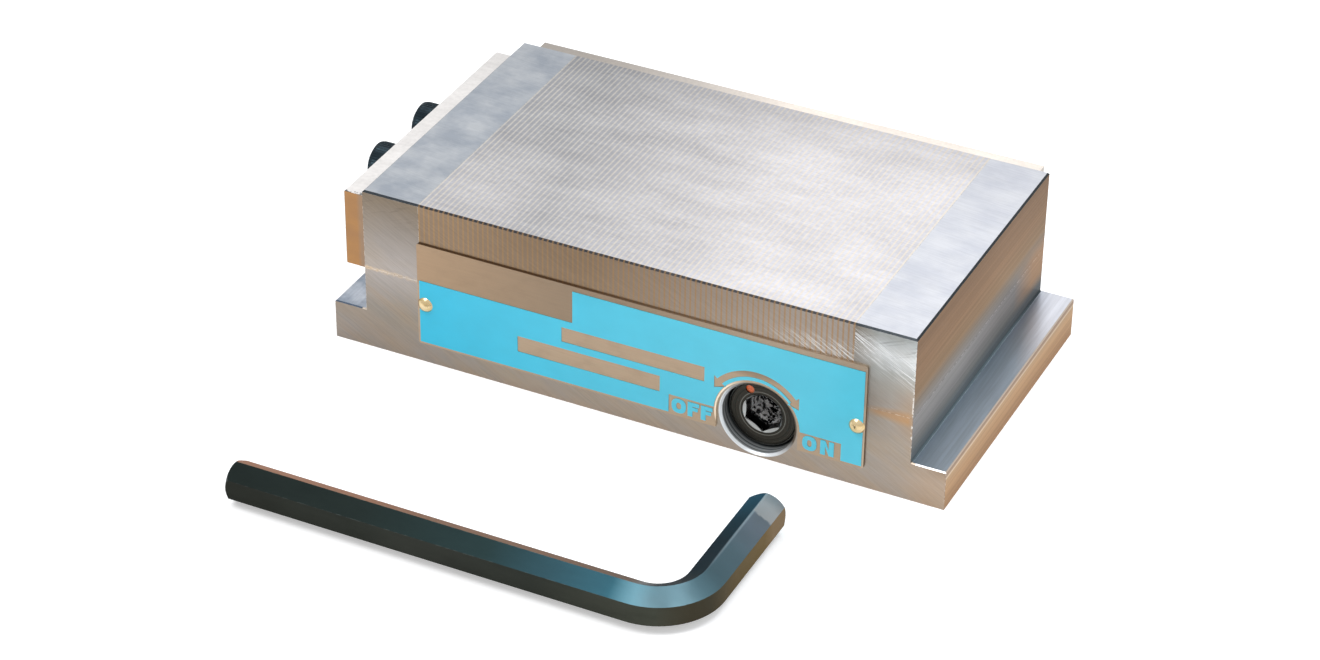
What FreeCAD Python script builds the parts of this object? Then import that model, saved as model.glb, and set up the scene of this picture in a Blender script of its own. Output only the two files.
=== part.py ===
import FreeCAD, Part
import math
import os

from FreeCAD import Vector

# Fine-pole permanent magnetic chuck. Millimetres, +Z up, origin at the centre of the base's bottom face.
# +X runs along the length, -Y is the front with the drive and the nameplate.

# Pole plate: a brazed stack of steel laminations and brass separators between two end blocks
STEEL_T = 0.8
BRASS_T = 0.4
LAMINATIONS = 85
END_BLOCK_L = 13.8
BODY_W = 75.0
POLE_PLATE_H = 19.5
EDGE_BEVEL = 0.4

# Base: a ground block with a clamping flange at each end and a pocket for the magnet carriage
FLANGE_OUT = 8.0
FLANGE_H = 9.5
FLANGE_BEVEL = 0.25
STEP_R = 0.5
FLOOR_T = 3.5
SIDE_WALL = 9.0
POCKET_R = 3.0

# Drive shaft: a head with the socket, a journal, and an eccentric pin at the inner end. Its axis lies
# DRIVE_INSET in from the pocket's right end.
DRIVE_INSET = 24.0
BORE_R = 8.5
BORE_WEB = 0.9
BORE_CHAMFER = 0.45
HEAD_RECESS = 2.6
HEAD_L = 4.4
HEAD_GAP = 0.3
HEAD_ROUND = 0.9
JOURNAL_R = 6.5
BUSH_WALL = 1.75
RUNNING_GAP = 0.05
PRESS_GAP = 0.02
SOCKET_GAP = 0.1
SOCKET_DEPTH = 8.0
SOCKET_LEAD = 0.5
DOT_R = 1.0
DOT_DEPTH = 0.7
DOT_PAINT = 0.35
DOT_AT_R = 6.15
ORING_R = 0.9
ORING_FLAT = 0.45
ORING_SIDE = 0.2
PIN_R = 2.5
PIN_L = 5.0
SHAFT_END_GAP = 0.5

# Half turn of the drive: the stored position is REST_TURN degrees on from OFF
SWING = 180.0
REST_TURN = 60.0

# Axial retention and travel stops, in the pocket behind the bearing boss
BOSS_OUT = 6.5
BOSS_EDGE = 0.65
WASHER_T = 1.0
WASHER_EDGE = 1.0
SNAP_T = 1.0
SNAP_W = 1.1
SNAP_SUNK = 0.35
SNAP_GAP_DEG = 30.0
DOG_R = 1.5
DOG_ROOT = 2.5
DOG_PAST_PIN = 0.6
DOG_ROOM = 0.93
STOP_PIN_R = 1.25
STOP_PIN_IN = 5.0
STOP_CLEAR = 0.3
SCALLOP_GAP = 0.45

# Magnet carriage: magnets and pole bars bonded into a frame that slides along X
MAGNETS = 20
LAMINATIONS_PER_MAGNET = 4
POLE_BAR_T = 1.6
FRAME_WALL = 3.7
CROSSBAR_T = 5.0
CARRIAGE_PLATE_T = 1.2
CARRIAGE_END_GAP = 0.3
CARRIAGE_SIDE_GAP = 0.3
CARRIAGE_TOP_GAP = 0.1
CARRIAGE_FLOOR_GAP = 0.4
NOTCH_GAP = 0.4
SLOT_GAP = 0.45
STRIP_T = 1.0
STRIP_END = 3.0
STRIP_EDGE = 2.0
CARRIAGE_SCREW_R = 1.0
CARRIAGE_SCREW_HEAD_R = 1.9
CARRIAGE_SCREW_HEAD_H = 1.0
CARRIAGE_SCREW_L = 6.0

# Seal round the pocket, dowels, and the screws that hold the pole plate from below
SEAL_INSET = 1.0
SEAL_W = 1.6
SEAL_D = 1.2
SEAL_GAP = 0.05
POLE_SCREW_R = 2.5
POLE_SCREW_HEAD_R = 4.25
POLE_SCREW_HEAD_H = 5.0
POLE_SCREW_HEAD_SUNK = 0.6
POLE_SCREW_AF = 4.0
POLE_SCREW_L = 25.0
POLE_SCREW_SPACING = 23.0
DOWEL_R = 2.0
DOWEL_L = 12.0
DOWEL_SPACING = 12.0
THREAD_GAP = 0.05
HOLE_GAP = 0.25
HOLE_END = 1.0

# Stop plates on the left end and the back, each on two cap screws in upright slots. The rear screws sit
# lower, so that their heads stay below the plate's top from the front.
STOP_T = 5.0
STOP_H = 18.3
STOP_DROP = 1.7
SIDE_STOP_TRAVEL = 4.5
REAR_STOP_TRAVEL = 3.5
STOP_GAP = 0.05
STOP_BEVEL = 0.3
SIDE_STOP_L = 70.0
SIDE_STOP_Y = -2.0
SIDE_SCREW_Y = -2.9
SIDE_SCREW_PITCH = 20.0
REAR_STOP_L = 124.0
REAR_SCREW_INSET = 4.3
CAP_SCREW_R = 3.0
CAP_HEAD_R = 5.0
CAP_HEAD_H = 6.0
CAP_HEAD_ROUND = 1.5
CAP_SOCKET_AF = 5.0
CAP_SOCKET_D = 3.0
CAP_GRIP = 9.0
SIDE_SCREW_DROP = 8.65
REAR_SCREW_DROP = 11.6
CAP_SLOT_GAP = 0.3

# Nameplate on the front face, open round the drive, on two drive screws
PLATE_L = 106.3
PLATE_H = 25.5
PLATE_X = 1.55
PLATE_Z = 5.0
PLATE_T = 0.5
PLATE_BORDER = 0.55
PLATE_CORNER = 0.5
RIVET_HEAD_R = 1.85
RIVET_HEAD_H = 1.1
RIVET_SHANK_R = 1.0
RIVET_SHANK_L = 5.0
RIVET_INSET = 1.9
RIVET_Z = 15.3

# Hexagon key, lying in front with its long arm along X
KEY_AF = 8.0
KEY_LONG = 107.5
KEY_SHORT = 44.2
KEY_BEND_R = 11.0
KEY_BEVEL = 0.7
KEY_OUTER_X = 46.8
KEY_OUTER_Y = -104.0

# Sizes that follow from the ones above
PITCH = STEEL_T + BRASS_T
ZONE_L = LAMINATIONS * PITCH + BRASS_T
BODY_L = ZONE_L + 2 * END_BLOCK_L
HALF_L = BODY_L / 2
HALF_W = BODY_W / 2
FRONT = -HALF_W

BUSH_R = JOURNAL_R + RUNNING_GAP + BUSH_WALL
DRIVE_Z = BORE_WEB + BORE_R
STOP_PIN_AT_R = BUSH_R + PRESS_GAP + STOP_PIN_R
STOP_PIN_BELOW = DOG_R + STOP_CLEAR + STOP_PIN_R
STOP_PIN_ASIDE = math.sqrt(STOP_PIN_AT_R ** 2 - STOP_PIN_BELOW ** 2)
DOG_TIP_R = STOP_PIN_AT_R + DOG_PAST_PIN
BASE_H = DRIVE_Z + DOG_TIP_R + DOG_ROOM
TOP = BASE_H + POLE_PLATE_H

MAGNET_PITCH = LAMINATIONS_PER_MAGNET * PITCH
MAGNET_T = MAGNET_PITCH - POLE_BAR_T
STACK_L = MAGNETS * MAGNET_PITCH + POLE_BAR_T
TRAVEL = MAGNET_PITCH / 2
ECCENTRICITY = TRAVEL / 2
CARRIAGE_L = STACK_L + 2 * FRAME_WALL
POCKET_L = CARRIAGE_L + TRAVEL + 2 * CARRIAGE_END_GAP
POCKET_X = POCKET_L / 2
POCKET_Y = HALF_W - SIDE_WALL
DRIVE_X = POCKET_X - DRIVE_INSET
CARRIAGE_X = -ECCENTRICITY + TRAVEL * REST_TURN / SWING
CARRIAGE_Y = POCKET_Y - STRIP_T - CARRIAGE_SIDE_GAP
CARRIAGE_Z0 = FLOOR_T + CARRIAGE_FLOOR_GAP
FRAME_Z0 = CARRIAGE_Z0 + CARRIAGE_PLATE_T
CARRIAGE_Z1 = BASE_H - CARRIAGE_TOP_GAP

BOSS_HALF = STOP_PIN_ASIDE + STOP_PIN_R + BOSS_EDGE
BOSS_Y = -POCKET_Y + BOSS_OUT
HEAD_Y0 = FRONT + HEAD_RECESS
SHOULDER_Y = HEAD_Y0 + HEAD_L
HEAD_R = BORE_R - HEAD_GAP
WASHER_R = JOURNAL_R + RUNNING_GAP + WASHER_EDGE
WASHER_Y0 = BOSS_Y + RUNNING_GAP
SNAP_Y0 = WASHER_Y0 + WASHER_T + RUNNING_GAP
SNAP_R = JOURNAL_R - SNAP_SUNK
DOG_Y = SNAP_Y0 + SNAP_T + SCALLOP_GAP + DOG_R
SHAFT_END_Y = DOG_Y + DOG_R + SHAFT_END_GAP
CROSSBAR_Y0 = SHAFT_END_Y + SHAFT_END_GAP
NOTCH_HALF = BOSS_HALF + ECCENTRICITY + NOTCH_GAP
DRIVE_ANGLE = math.radians(180.0 - REST_TURN)

SEAL_X = POCKET_X + SEAL_INSET
SEAL_Y = POCKET_Y + SEAL_INSET
POLE_SCREW_X = (SEAL_X + SEAL_W + HALF_L) / 2
HEAD_TOP_Z = POLE_SCREW_HEAD_SUNK + POLE_SCREW_HEAD_H
SIDE_SCREW_Z = TOP - SIDE_SCREW_DROP
REAR_SCREW_Z = TOP - REAR_SCREW_DROP
STOP_Z0 = TOP - STOP_DROP - STOP_H
REAR_SCREW_X = ZONE_L / 2 + REAR_SCREW_INSET
KEY_CORNER_R = KEY_AF / math.sqrt(3)


def box(x, y, z):
    """A block from three (low, high) pairs."""
    return Part.makeBox(x[1] - x[0], y[1] - y[0], z[1] - z[0], Vector(x[0], y[0], z[0]))


def rod(radius, start, end):
    """A round bar from one point to another."""
    run = Vector(*end) - Vector(*start)
    return Part.makeCylinder(radius, run.Length, Vector(*start), run)


def cone(radius0, radius1, start, end):
    """A round taper from one point to another."""
    run = Vector(*end) - Vector(*start)
    return Part.makeCone(radius0, radius1, run.Length, Vector(*start), run)


def drive_rod(radius, y0, y1):
    """A round bar on the drive's axis."""
    return rod(radius, (DRIVE_X, y0, DRIVE_Z), (DRIVE_X, y1, DRIVE_Z))


def on_drive(radius, angle, y):
    """A point at a radius and an angle from +X, seen from the front."""
    return (DRIVE_X + radius * math.cos(angle), y, DRIVE_Z + radius * math.sin(angle))


def prism(points, run):
    """An outline of straight edges, pushed along a vector."""
    outline = Part.makePolygon([Vector(*p) for p in points] + [Vector(*points[0])])
    return Part.Face(outline).extrude(Vector(*run))


def hexagon(across, centre, normal, length, turn=0.0):
    """A hexagonal bar, with the corner that starts it turned about the normal."""
    n = Vector(*normal)
    side = Vector(0, 0, 1) if abs(n.z) < 0.5 else Vector(0, 1, 0)
    other = n.cross(side)
    radius = across / math.sqrt(3)
    points = []
    for k in range(6):
        a = math.radians(turn + 60 * k)
        points.append(Vector(*centre) + side * (radius * math.cos(a)) + other * (radius * math.sin(a)))
    return prism([tuple(p) for p in points], tuple(n * length))


def rounded_block(half_x, half_y, z, radius, centre_x=0.0):
    """A block whose four upright edges are rounded."""
    block = box((centre_x - half_x, centre_x + half_x), (-half_y, half_y), z)
    upright = [e for e in block.Edges if abs(e.Vertexes[0].Z - e.Vertexes[1].Z) > 1e-6]
    return block.makeFillet(radius, upright)


def drive_sleeve(inner_r, outer_r, y0, y1):
    """A round sleeve on the drive's axis."""
    return drive_rod(outer_r, y0, y1).cut(drive_rod(inner_r, y0, y1))


def edges_at(shape, test):
    """The straight edges whose two ends pass a test."""
    return [e for e in shape.Edges if len(e.Vertexes) == 2 and all(test(v.Point) for v in e.Vertexes)]


def near(a, b):
    return abs(a - b) < 1e-6


def pole_screw_places():
    spread = (-POLE_SCREW_SPACING, 0.0, POLE_SCREW_SPACING)
    return [(side * POLE_SCREW_X, y) for side in (-1, 1) for y in spread]


def dowel_places():
    return [(-POLE_SCREW_X, -DOWEL_SPACING), (POLE_SCREW_X, DOWEL_SPACING)]


def rivet_places():
    half = PLATE_L / 2 - RIVET_INSET
    return [(PLATE_X - half, RIVET_Z), (PLATE_X + half, RIVET_Z)]


def side_screw_places():
    return [SIDE_SCREW_Y - SIDE_SCREW_PITCH / 2, SIDE_SCREW_Y + SIDE_SCREW_PITCH / 2]


def carriage_screw_places():
    end = CARRIAGE_L / 2 - FRAME_WALL / 2
    side = CARRIAGE_Y - FRAME_WALL / 2
    return [(CARRIAGE_X + x, y) for x in (-end, 0.0, end) for y in (-side, side)]


def travel_stop_places():
    z = DRIVE_Z - STOP_PIN_BELOW
    return [(DRIVE_X + side * STOP_PIN_ASIDE, z) for side in (-1, 1)]


def make_base():
    """The base block with flanges, pocket, drive bore and every hole that its fasteners need."""
    half_flange = HALF_L + FLANGE_OUT
    flanges = box((-half_flange, half_flange), (-HALF_W, HALF_W), (0, FLANGE_H))
    tops = edges_at(flanges, lambda p: near(p.z, FLANGE_H) and near(abs(p.x), half_flange))
    base = flanges.makeChamfer(FLANGE_BEVEL, tops)
    base = base.fuse(box((-HALF_L, HALF_L), (-HALF_W, HALF_W), (0, BASE_H))).removeSplitter()
    steps = edges_at(base, lambda p: near(p.z, FLANGE_H) and near(abs(p.x), HALF_L))
    base = base.makeFillet(STEP_R, steps)
    for side in (-1, 1):
        for face in (-1, 1):
            base = base.cut(flange_edge(side, face))

    pocket = rounded_block(POCKET_X, POCKET_Y, (FLOOR_T, BASE_H), POCKET_R)
    boss = box((DRIVE_X - BOSS_HALF, DRIVE_X + BOSS_HALF), (-POCKET_Y, BOSS_Y), (FLOOR_T, BASE_H))
    base = base.cut(pocket.cut(boss))
    base = base.cut(seal_groove(0.0))

    base = base.cut(drive_rod(BORE_R, FRONT, SHOULDER_Y))
    base = base.cut(drive_rod(BUSH_R + PRESS_GAP, SHOULDER_Y, BOSS_Y))
    base = base.cut(drive_rod(WASHER_R + SCALLOP_GAP, BOSS_Y, CROSSBAR_Y0))
    mouth = BORE_R + BORE_CHAMFER
    base = base.cut(cone(mouth, BORE_R, (DRIVE_X, FRONT, DRIVE_Z), (DRIVE_X, FRONT + BORE_CHAMFER, DRIVE_Z)))
    for x, z in travel_stop_places():
        base = base.cut(rod(STOP_PIN_R + PRESS_GAP, (x, BOSS_Y - STOP_PIN_IN, z), (x, BOSS_Y, z)))

    for x, y in pole_screw_places():
        base = base.cut(rod(POLE_SCREW_R + HOLE_GAP, (x, y, 0), (x, y, BASE_H)))
        base = base.cut(rod(POLE_SCREW_HEAD_R + HOLE_GAP, (x, y, 0), (x, y, HEAD_TOP_Z)))
    for x, y in dowel_places():
        base = base.cut(rod(DOWEL_R + PRESS_GAP, (x, y, BASE_H - DOWEL_L / 2 - HOLE_END), (x, y, BASE_H)))
    for x, z in rivet_places():
        end = FRONT + RIVET_SHANK_L + HOLE_END
        base = base.cut(rod(RIVET_SHANK_R + PRESS_GAP, (x, FRONT, z), (x, end, z)))
    return base.removeSplitter()


def flange_edge(side, face):
    """What the bevel takes off a flange's front or rear top edge."""
    start = side * (HALF_L + STEP_R)
    edge = face * HALF_W
    points = [
        (start, edge, FLANGE_H),
        (start, edge, FLANGE_H - FLANGE_BEVEL),
        (start, edge - face * FLANGE_BEVEL, FLANGE_H),
    ]
    return prism(points, (side * (FLANGE_OUT - STEP_R), 0, 0))


def seal_groove(gap):
    """The ring round the pocket that the seal fills, less a gap on each side."""
    z = (BASE_H - SEAL_D, BASE_H)
    out = SEAL_W - gap
    outer = rounded_block(SEAL_X + out, SEAL_Y + out, z, POCKET_R + SEAL_INSET + out)
    inner = rounded_block(SEAL_X + gap, SEAL_Y + gap, z, POCKET_R + SEAL_INSET + gap)
    return outer.cut(inner)


def make_end_block(side):
    """One solid end of the pole plate, with bevelled top edges and its threaded holes."""
    x = sorted((side * ZONE_L / 2, side * HALF_L))
    block = box(x, (-HALF_W, HALF_W), (BASE_H, TOP))
    inner = side * ZONE_L / 2
    tops = edges_at(block, lambda p: near(p.z, TOP))
    tops = [e for e in tops if not all(near(v.X, inner) for v in e.Vertexes)]
    block = block.makeChamfer(EDGE_BEVEL, tops)
    tip = HEAD_TOP_Z + POLE_SCREW_L + HOLE_END
    for px, py in pole_screw_places():
        if px * side > 0:
            block = block.cut(rod(POLE_SCREW_R + THREAD_GAP, (px, py, BASE_H), (px, py, tip)))
    for px, py in dowel_places():
        if px * side > 0:
            top = BASE_H + DOWEL_L / 2 + HOLE_END
            block = block.cut(rod(DOWEL_R + PRESS_GAP, (px, py, BASE_H), (px, py, top)))
    deep = HALF_W - CAP_GRIP - HOLE_END
    rear_x = side * REAR_SCREW_X
    hole_r = CAP_SCREW_R + THREAD_GAP
    block = block.cut(rod(hole_r, (rear_x, HALF_W, REAR_SCREW_Z), (rear_x, deep, REAR_SCREW_Z)))
    if side < 0:
        for y in side_screw_places():
            start = (-HALF_L, y, SIDE_SCREW_Z)
            end = (-HALF_L + CAP_GRIP + HOLE_END, y, SIDE_SCREW_Z)
            block = block.cut(rod(hole_r, start, end))
    return block


def plate_profile(x0, thickness):
    """One plate of the stack, full depth, with the work face's front and rear edges bevelled."""
    points = [
        (x0, -HALF_W, BASE_H),
        (x0, HALF_W, BASE_H),
        (x0, HALF_W, TOP - EDGE_BEVEL),
        (x0, HALF_W - EDGE_BEVEL, TOP),
        (x0, -HALF_W + EDGE_BEVEL, TOP),
        (x0, -HALF_W, TOP - EDGE_BEVEL),
    ]
    return prism(points, (thickness, 0, 0))


def make_steel_laminations():
    first = -ZONE_L / 2 + BRASS_T
    return Part.makeCompound([plate_profile(first + k * PITCH, STEEL_T) for k in range(LAMINATIONS)])


def make_brass_separators():
    first = -ZONE_L / 2
    return Part.makeCompound([plate_profile(first + k * PITCH, BRASS_T) for k in range(LAMINATIONS + 1)])


def make_pole_plate_screws():
    """Cap screws that come up through the base into the end blocks."""
    screws = []
    for x, y in pole_screw_places():
        head = rod(POLE_SCREW_HEAD_R, (x, y, POLE_SCREW_HEAD_SUNK), (x, y, HEAD_TOP_Z))
        shank = rod(POLE_SCREW_R, (x, y, HEAD_TOP_Z), (x, y, HEAD_TOP_Z + POLE_SCREW_L))
        socket = hexagon(POLE_SCREW_AF, (x, y, POLE_SCREW_HEAD_SUNK), (0, 0, 1), POLE_SCREW_HEAD_H / 2)
        screws.append(head.fuse(shank).cut(socket))
    return Part.makeCompound(screws)


def make_dowels():
    half = DOWEL_L / 2
    low, high = BASE_H - half, BASE_H + half
    return Part.makeCompound([rod(DOWEL_R, (x, y, low), (x, y, high)) for x, y in dowel_places()])


def make_nameplate():
    """The thin front plate, cut away round the bore so that the drive stays open."""
    x = (PLATE_X - PLATE_L / 2, PLATE_X + PLATE_L / 2)
    plate = box(x, (FRONT - PLATE_T, FRONT), (PLATE_Z, PLATE_Z + PLATE_H))
    corners = [e for e in plate.Edges if near(e.Length, PLATE_T)]
    plate = plate.makeFillet(PLATE_CORNER, corners)
    arch = BORE_R + BORE_CHAMFER + PLATE_BORDER
    plate = plate.cut(drive_rod(arch, FRONT - PLATE_T, FRONT))
    legs = (DRIVE_X - arch, DRIVE_X + arch)
    plate = plate.cut(box(legs, (FRONT - PLATE_T, FRONT), (PLATE_Z, DRIVE_Z)))
    for px, pz in rivet_places():
        plate = plate.cut(rod(RIVET_SHANK_R + PRESS_GAP, (px, FRONT - PLATE_T, pz), (px, FRONT, pz)))
    return plate


def make_nameplate_rivets():
    """Round-headed drive screws through the nameplate."""
    cap_r = (RIVET_HEAD_R ** 2 + RIVET_HEAD_H ** 2) / (2 * RIVET_HEAD_H)
    face = FRONT - PLATE_T
    rivets = []
    for x, z in rivet_places():
        dome = Part.makeSphere(cap_r, Vector(x, face - RIVET_HEAD_H + cap_r, z))
        head = dome.common(rod(RIVET_HEAD_R, (x, face - RIVET_HEAD_H, z), (x, face, z)))
        rivets.append(head.fuse(rod(RIVET_SHANK_R, (x, face, z), (x, FRONT + RIVET_SHANK_L, z))))
    return Part.makeCompound(rivets)


def make_drive_shaft():
    """Head, journal and eccentric pin in one piece, with the socket, dimple, grooves and dog hole."""
    head = drive_rod(HEAD_R, HEAD_Y0, SHOULDER_Y - RUNNING_GAP)
    front = Vector(DRIVE_X, HEAD_Y0, DRIVE_Z)
    rim = [e for e in head.Edges if near((e.CenterOfMass - front).Length, 0)]
    shaft = head.makeFillet(HEAD_ROUND, rim)
    shaft = shaft.fuse(drive_rod(JOURNAL_R, SHOULDER_Y - RUNNING_GAP, SHAFT_END_Y))
    pin = rod(PIN_R, on_drive(ECCENTRICITY, DRIVE_ANGLE, SHAFT_END_Y),
              on_drive(ECCENTRICITY, DRIVE_ANGLE, SHAFT_END_Y + PIN_L))
    shaft = shaft.fuse(pin)

    socket_af = KEY_AF + SOCKET_GAP
    shaft = shaft.cut(hexagon(socket_af, (DRIVE_X, HEAD_Y0, DRIVE_Z), (0, 1, 0), SOCKET_DEPTH))
    lead_r = socket_af / math.sqrt(3)
    shaft = shaft.cut(cone(lead_r, socket_af / 2, (DRIVE_X, HEAD_Y0, DRIVE_Z),
                           (DRIVE_X, HEAD_Y0 + SOCKET_LEAD, DRIVE_Z)))
    shaft = shaft.cut(rod(DOT_R, on_drive(DOT_AT_R, DRIVE_ANGLE, HEAD_Y0),
                          on_drive(DOT_AT_R, DRIVE_ANGLE, HEAD_Y0 + DOT_DEPTH)))

    groove_y = (oring_y() - ORING_R - ORING_SIDE, oring_y() + ORING_R + ORING_SIDE)
    shaft = shaft.cut(drive_sleeve(oring_ring_r() - ORING_R - RUNNING_GAP, BORE_R, *groove_y))
    snap_y = (SNAP_Y0 - RUNNING_GAP, SNAP_Y0 + SNAP_T + RUNNING_GAP)
    shaft = shaft.cut(drive_sleeve(SNAP_R, BORE_R, *snap_y))
    root = on_drive(DOG_ROOT, DRIVE_ANGLE, DOG_Y)
    hole = rod(DOG_R + PRESS_GAP, root, on_drive(BORE_R, DRIVE_ANGLE, DOG_Y))
    return shaft.cut(hole)


def oring_y():
    return HEAD_Y0 + (HEAD_ROUND + HEAD_L) / 2


def oring_ring_r():
    return BORE_R - RUNNING_GAP - ORING_R


def make_shaft_o_ring():
    """A rubber ring squeezed in its groove: its section has four flats and four cut corners."""
    corners = [(1, -1), (1, 1), (-1, 1), (-1, -1)]
    points = []
    for a, b in corners:
        along_wall = Vector(a * ORING_R, b * ORING_FLAT, 0)
        along_side = Vector(a * ORING_FLAT, b * ORING_R, 0)
        points += [along_wall, along_side] if a == b else [along_side, along_wall]
    section = Part.Face(Part.makePolygon(points + points[:1]))
    section.translate(Vector(DRIVE_X + oring_ring_r(), oring_y(), DRIVE_Z))
    return section.revolve(Vector(DRIVE_X, 0, DRIVE_Z), Vector(0, 1, 0), 360.0)


def make_shaft_bush():
    return drive_sleeve(JOURNAL_R + RUNNING_GAP, BUSH_R, SHOULDER_Y, BOSS_Y)


def make_thrust_washer():
    return drive_sleeve(JOURNAL_R + RUNNING_GAP, WASHER_R, WASHER_Y0, WASHER_Y0 + WASHER_T)


def make_snap_ring():
    """A flat spring ring, open by a small gap so that it can be sprung on."""
    inner_r = SNAP_R + RUNNING_GAP
    section = Part.makePlane(SNAP_W, SNAP_T, Vector(inner_r, 0, 0))
    section.rotate(Vector(0, 0, 0), Vector(0, 1, 0), SNAP_GAP_DEG / 2)
    ring = section.revolve(Vector(0, 0, 0), Vector(0, 1, 0), 360.0 - SNAP_GAP_DEG)
    ring.translate(Vector(DRIVE_X, SNAP_Y0, DRIVE_Z))
    return ring


def make_stop_dog():
    return rod(DOG_R, on_drive(DOG_ROOT, DRIVE_ANGLE, DOG_Y), on_drive(DOG_TIP_R, DRIVE_ANGLE, DOG_Y))


def make_travel_stop_pins():
    pins = []
    for x, z in travel_stop_places():
        pins.append(rod(STOP_PIN_R, (x, BOSS_Y - STOP_PIN_IN, z), (x, DOG_Y + DOG_R, z)))
    return Part.makeCompound(pins)


def make_indicator_dot():
    start = on_drive(DOT_AT_R, DRIVE_ANGLE, HEAD_Y0 + DOT_DEPTH - DOT_PAINT)
    return rod(DOT_R, start, on_drive(DOT_AT_R, DRIVE_ANGLE, HEAD_Y0 + DOT_DEPTH))


def stack_places():
    """Each bar of the magnet stack: its two ends along X, and whether it is a pole bar."""
    bars = []
    x = CARRIAGE_X - STACK_L / 2
    for k in range(2 * MAGNETS + 1):
        is_pole = k % 2 == 0
        thickness = POLE_BAR_T if is_pole else MAGNET_T
        bars.append((x, x + thickness, is_pole))
        x += thickness
    return bars


def is_short(x0, x1):
    """Whether a bar of the stack lies behind the notch for the bearing boss."""
    low = DRIVE_X + CARRIAGE_X - NOTCH_HALF - FRAME_WALL
    high = DRIVE_X + CARRIAGE_X + NOTCH_HALF + FRAME_WALL
    return x1 > low and x0 < high


def stack_bar(x0, x1):
    depth = CARRIAGE_Y - FRAME_WALL
    front = CROSSBAR_Y0 + CROSSBAR_T if is_short(x0, x1) else -depth
    return box((x0, x1), (front, depth), (FRAME_Z0, CARRIAGE_Z1))


def make_magnets():
    return Part.makeCompound([stack_bar(x0, x1) for x0, x1, is_pole in stack_places() if not is_pole])


def make_magnet_pole_bars():
    return Part.makeCompound([stack_bar(x0, x1) for x0, x1, is_pole in stack_places() if is_pole])


def carriage_outline(z):
    """The carriage's outside, with the notch that clears the bearing boss."""
    block = rounded_block(CARRIAGE_L / 2, CARRIAGE_Y, z, POCKET_R, CARRIAGE_X)
    notch_x = DRIVE_X + CARRIAGE_X
    notch = box((notch_x - NOTCH_HALF, notch_x + NOTCH_HALF), (-CARRIAGE_Y, CROSSBAR_Y0), z)
    return block.cut(notch)


def make_carriage_frame():
    """The frame round the magnet stack, with the upright slot for the eccentric pin."""
    frame = carriage_outline((FRAME_Z0, CARRIAGE_Z1))
    window = [stack_bar(x0, x1) for x0, x1, is_pole in stack_places()]
    frame = frame.cut(window[0].multiFuse(window[1:]))
    slot_x = DRIVE_X + CARRIAGE_X
    half = PIN_R + SLOT_GAP
    reach = ECCENTRICITY + PIN_R + SLOT_GAP
    slot = box((slot_x - half, slot_x + half), (CROSSBAR_Y0, CROSSBAR_Y0 + CROSSBAR_T),
               (DRIVE_Z - reach, DRIVE_Z + reach))
    frame = frame.cut(slot)
    for x, y in carriage_screw_places():
        top = CARRIAGE_Z0 + CARRIAGE_SCREW_L + HOLE_END
        frame = frame.cut(rod(CARRIAGE_SCREW_R + THREAD_GAP, (x, y, FRAME_Z0), (x, y, top)))
    return frame.removeSplitter()


def make_carriage_plate():
    plate = carriage_outline((CARRIAGE_Z0, FRAME_Z0))
    for x, y in carriage_screw_places():
        plate = plate.cut(carriage_screw(x, y, PRESS_GAP))
    return plate


def carriage_screw(x, y, gap):
    """A countersunk screw from below, or the room for it."""
    sink = cone(CARRIAGE_SCREW_HEAD_R + gap, CARRIAGE_SCREW_R + gap, (x, y, CARRIAGE_Z0),
                (x, y, CARRIAGE_Z0 + CARRIAGE_SCREW_HEAD_H))
    return sink.fuse(rod(CARRIAGE_SCREW_R + gap, (x, y, CARRIAGE_Z0), (x, y, CARRIAGE_Z0 + CARRIAGE_SCREW_L)))


def make_carriage_screws():
    return Part.makeCompound([carriage_screw(x, y, 0.0) for x, y in carriage_screw_places()])


def make_guide_strips():
    """Bronze strips on the pocket's long walls, broken at the bearing boss."""
    z = (FLOOR_T + STRIP_EDGE, BASE_H - STRIP_EDGE)
    end = POCKET_X - POCKET_R - STRIP_END
    front = (-POCKET_Y, -POCKET_Y + STRIP_T)
    strips = [box((-end, end), (POCKET_Y - STRIP_T, POCKET_Y), z)]
    strips.append(box((-end, DRIVE_X - BOSS_HALF - STRIP_END), front, z))
    strips.append(box((DRIVE_X + BOSS_HALF + STRIP_END, end), front, z))
    return Part.makeCompound(strips)


def slot_cut(place, depth_axis, low, high, screw_z, travel):
    """An upright slot for a cap screw, from its stored height down by the stop's travel."""
    half = CAP_SCREW_R + CAP_SLOT_GAP
    bottom = screw_z - travel
    ends = []
    for z in (screw_z, bottom):
        if depth_axis == "x":
            ends.append(rod(half, (low, place, z), (high, place, z)))
        else:
            ends.append(rod(half, (place, low, z), (place, high, z)))
    across = (place - half, place + half)
    if depth_axis == "x":
        middle = box((low, high), across, (bottom, screw_z))
    else:
        middle = box(across, (low, high), (bottom, screw_z))
    return ends[0].fuse(ends[1]).fuse(middle)


def make_side_stop():
    """The plate on the left end, stored with its top just under the work face."""
    low = -HALF_L - STOP_GAP - STOP_T
    high = -HALF_L - STOP_GAP
    y = (SIDE_STOP_Y - SIDE_STOP_L / 2, SIDE_STOP_Y + SIDE_STOP_L / 2)
    plate = box((low, high), y, (STOP_Z0, STOP_Z0 + STOP_H))
    plate = plate.makeChamfer(STOP_BEVEL, edges_at(plate, lambda p: near(p.x, low)))
    for place in side_screw_places():
        plate = plate.cut(slot_cut(place, "x", low, high, SIDE_SCREW_Z, SIDE_STOP_TRAVEL))
    return plate


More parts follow.
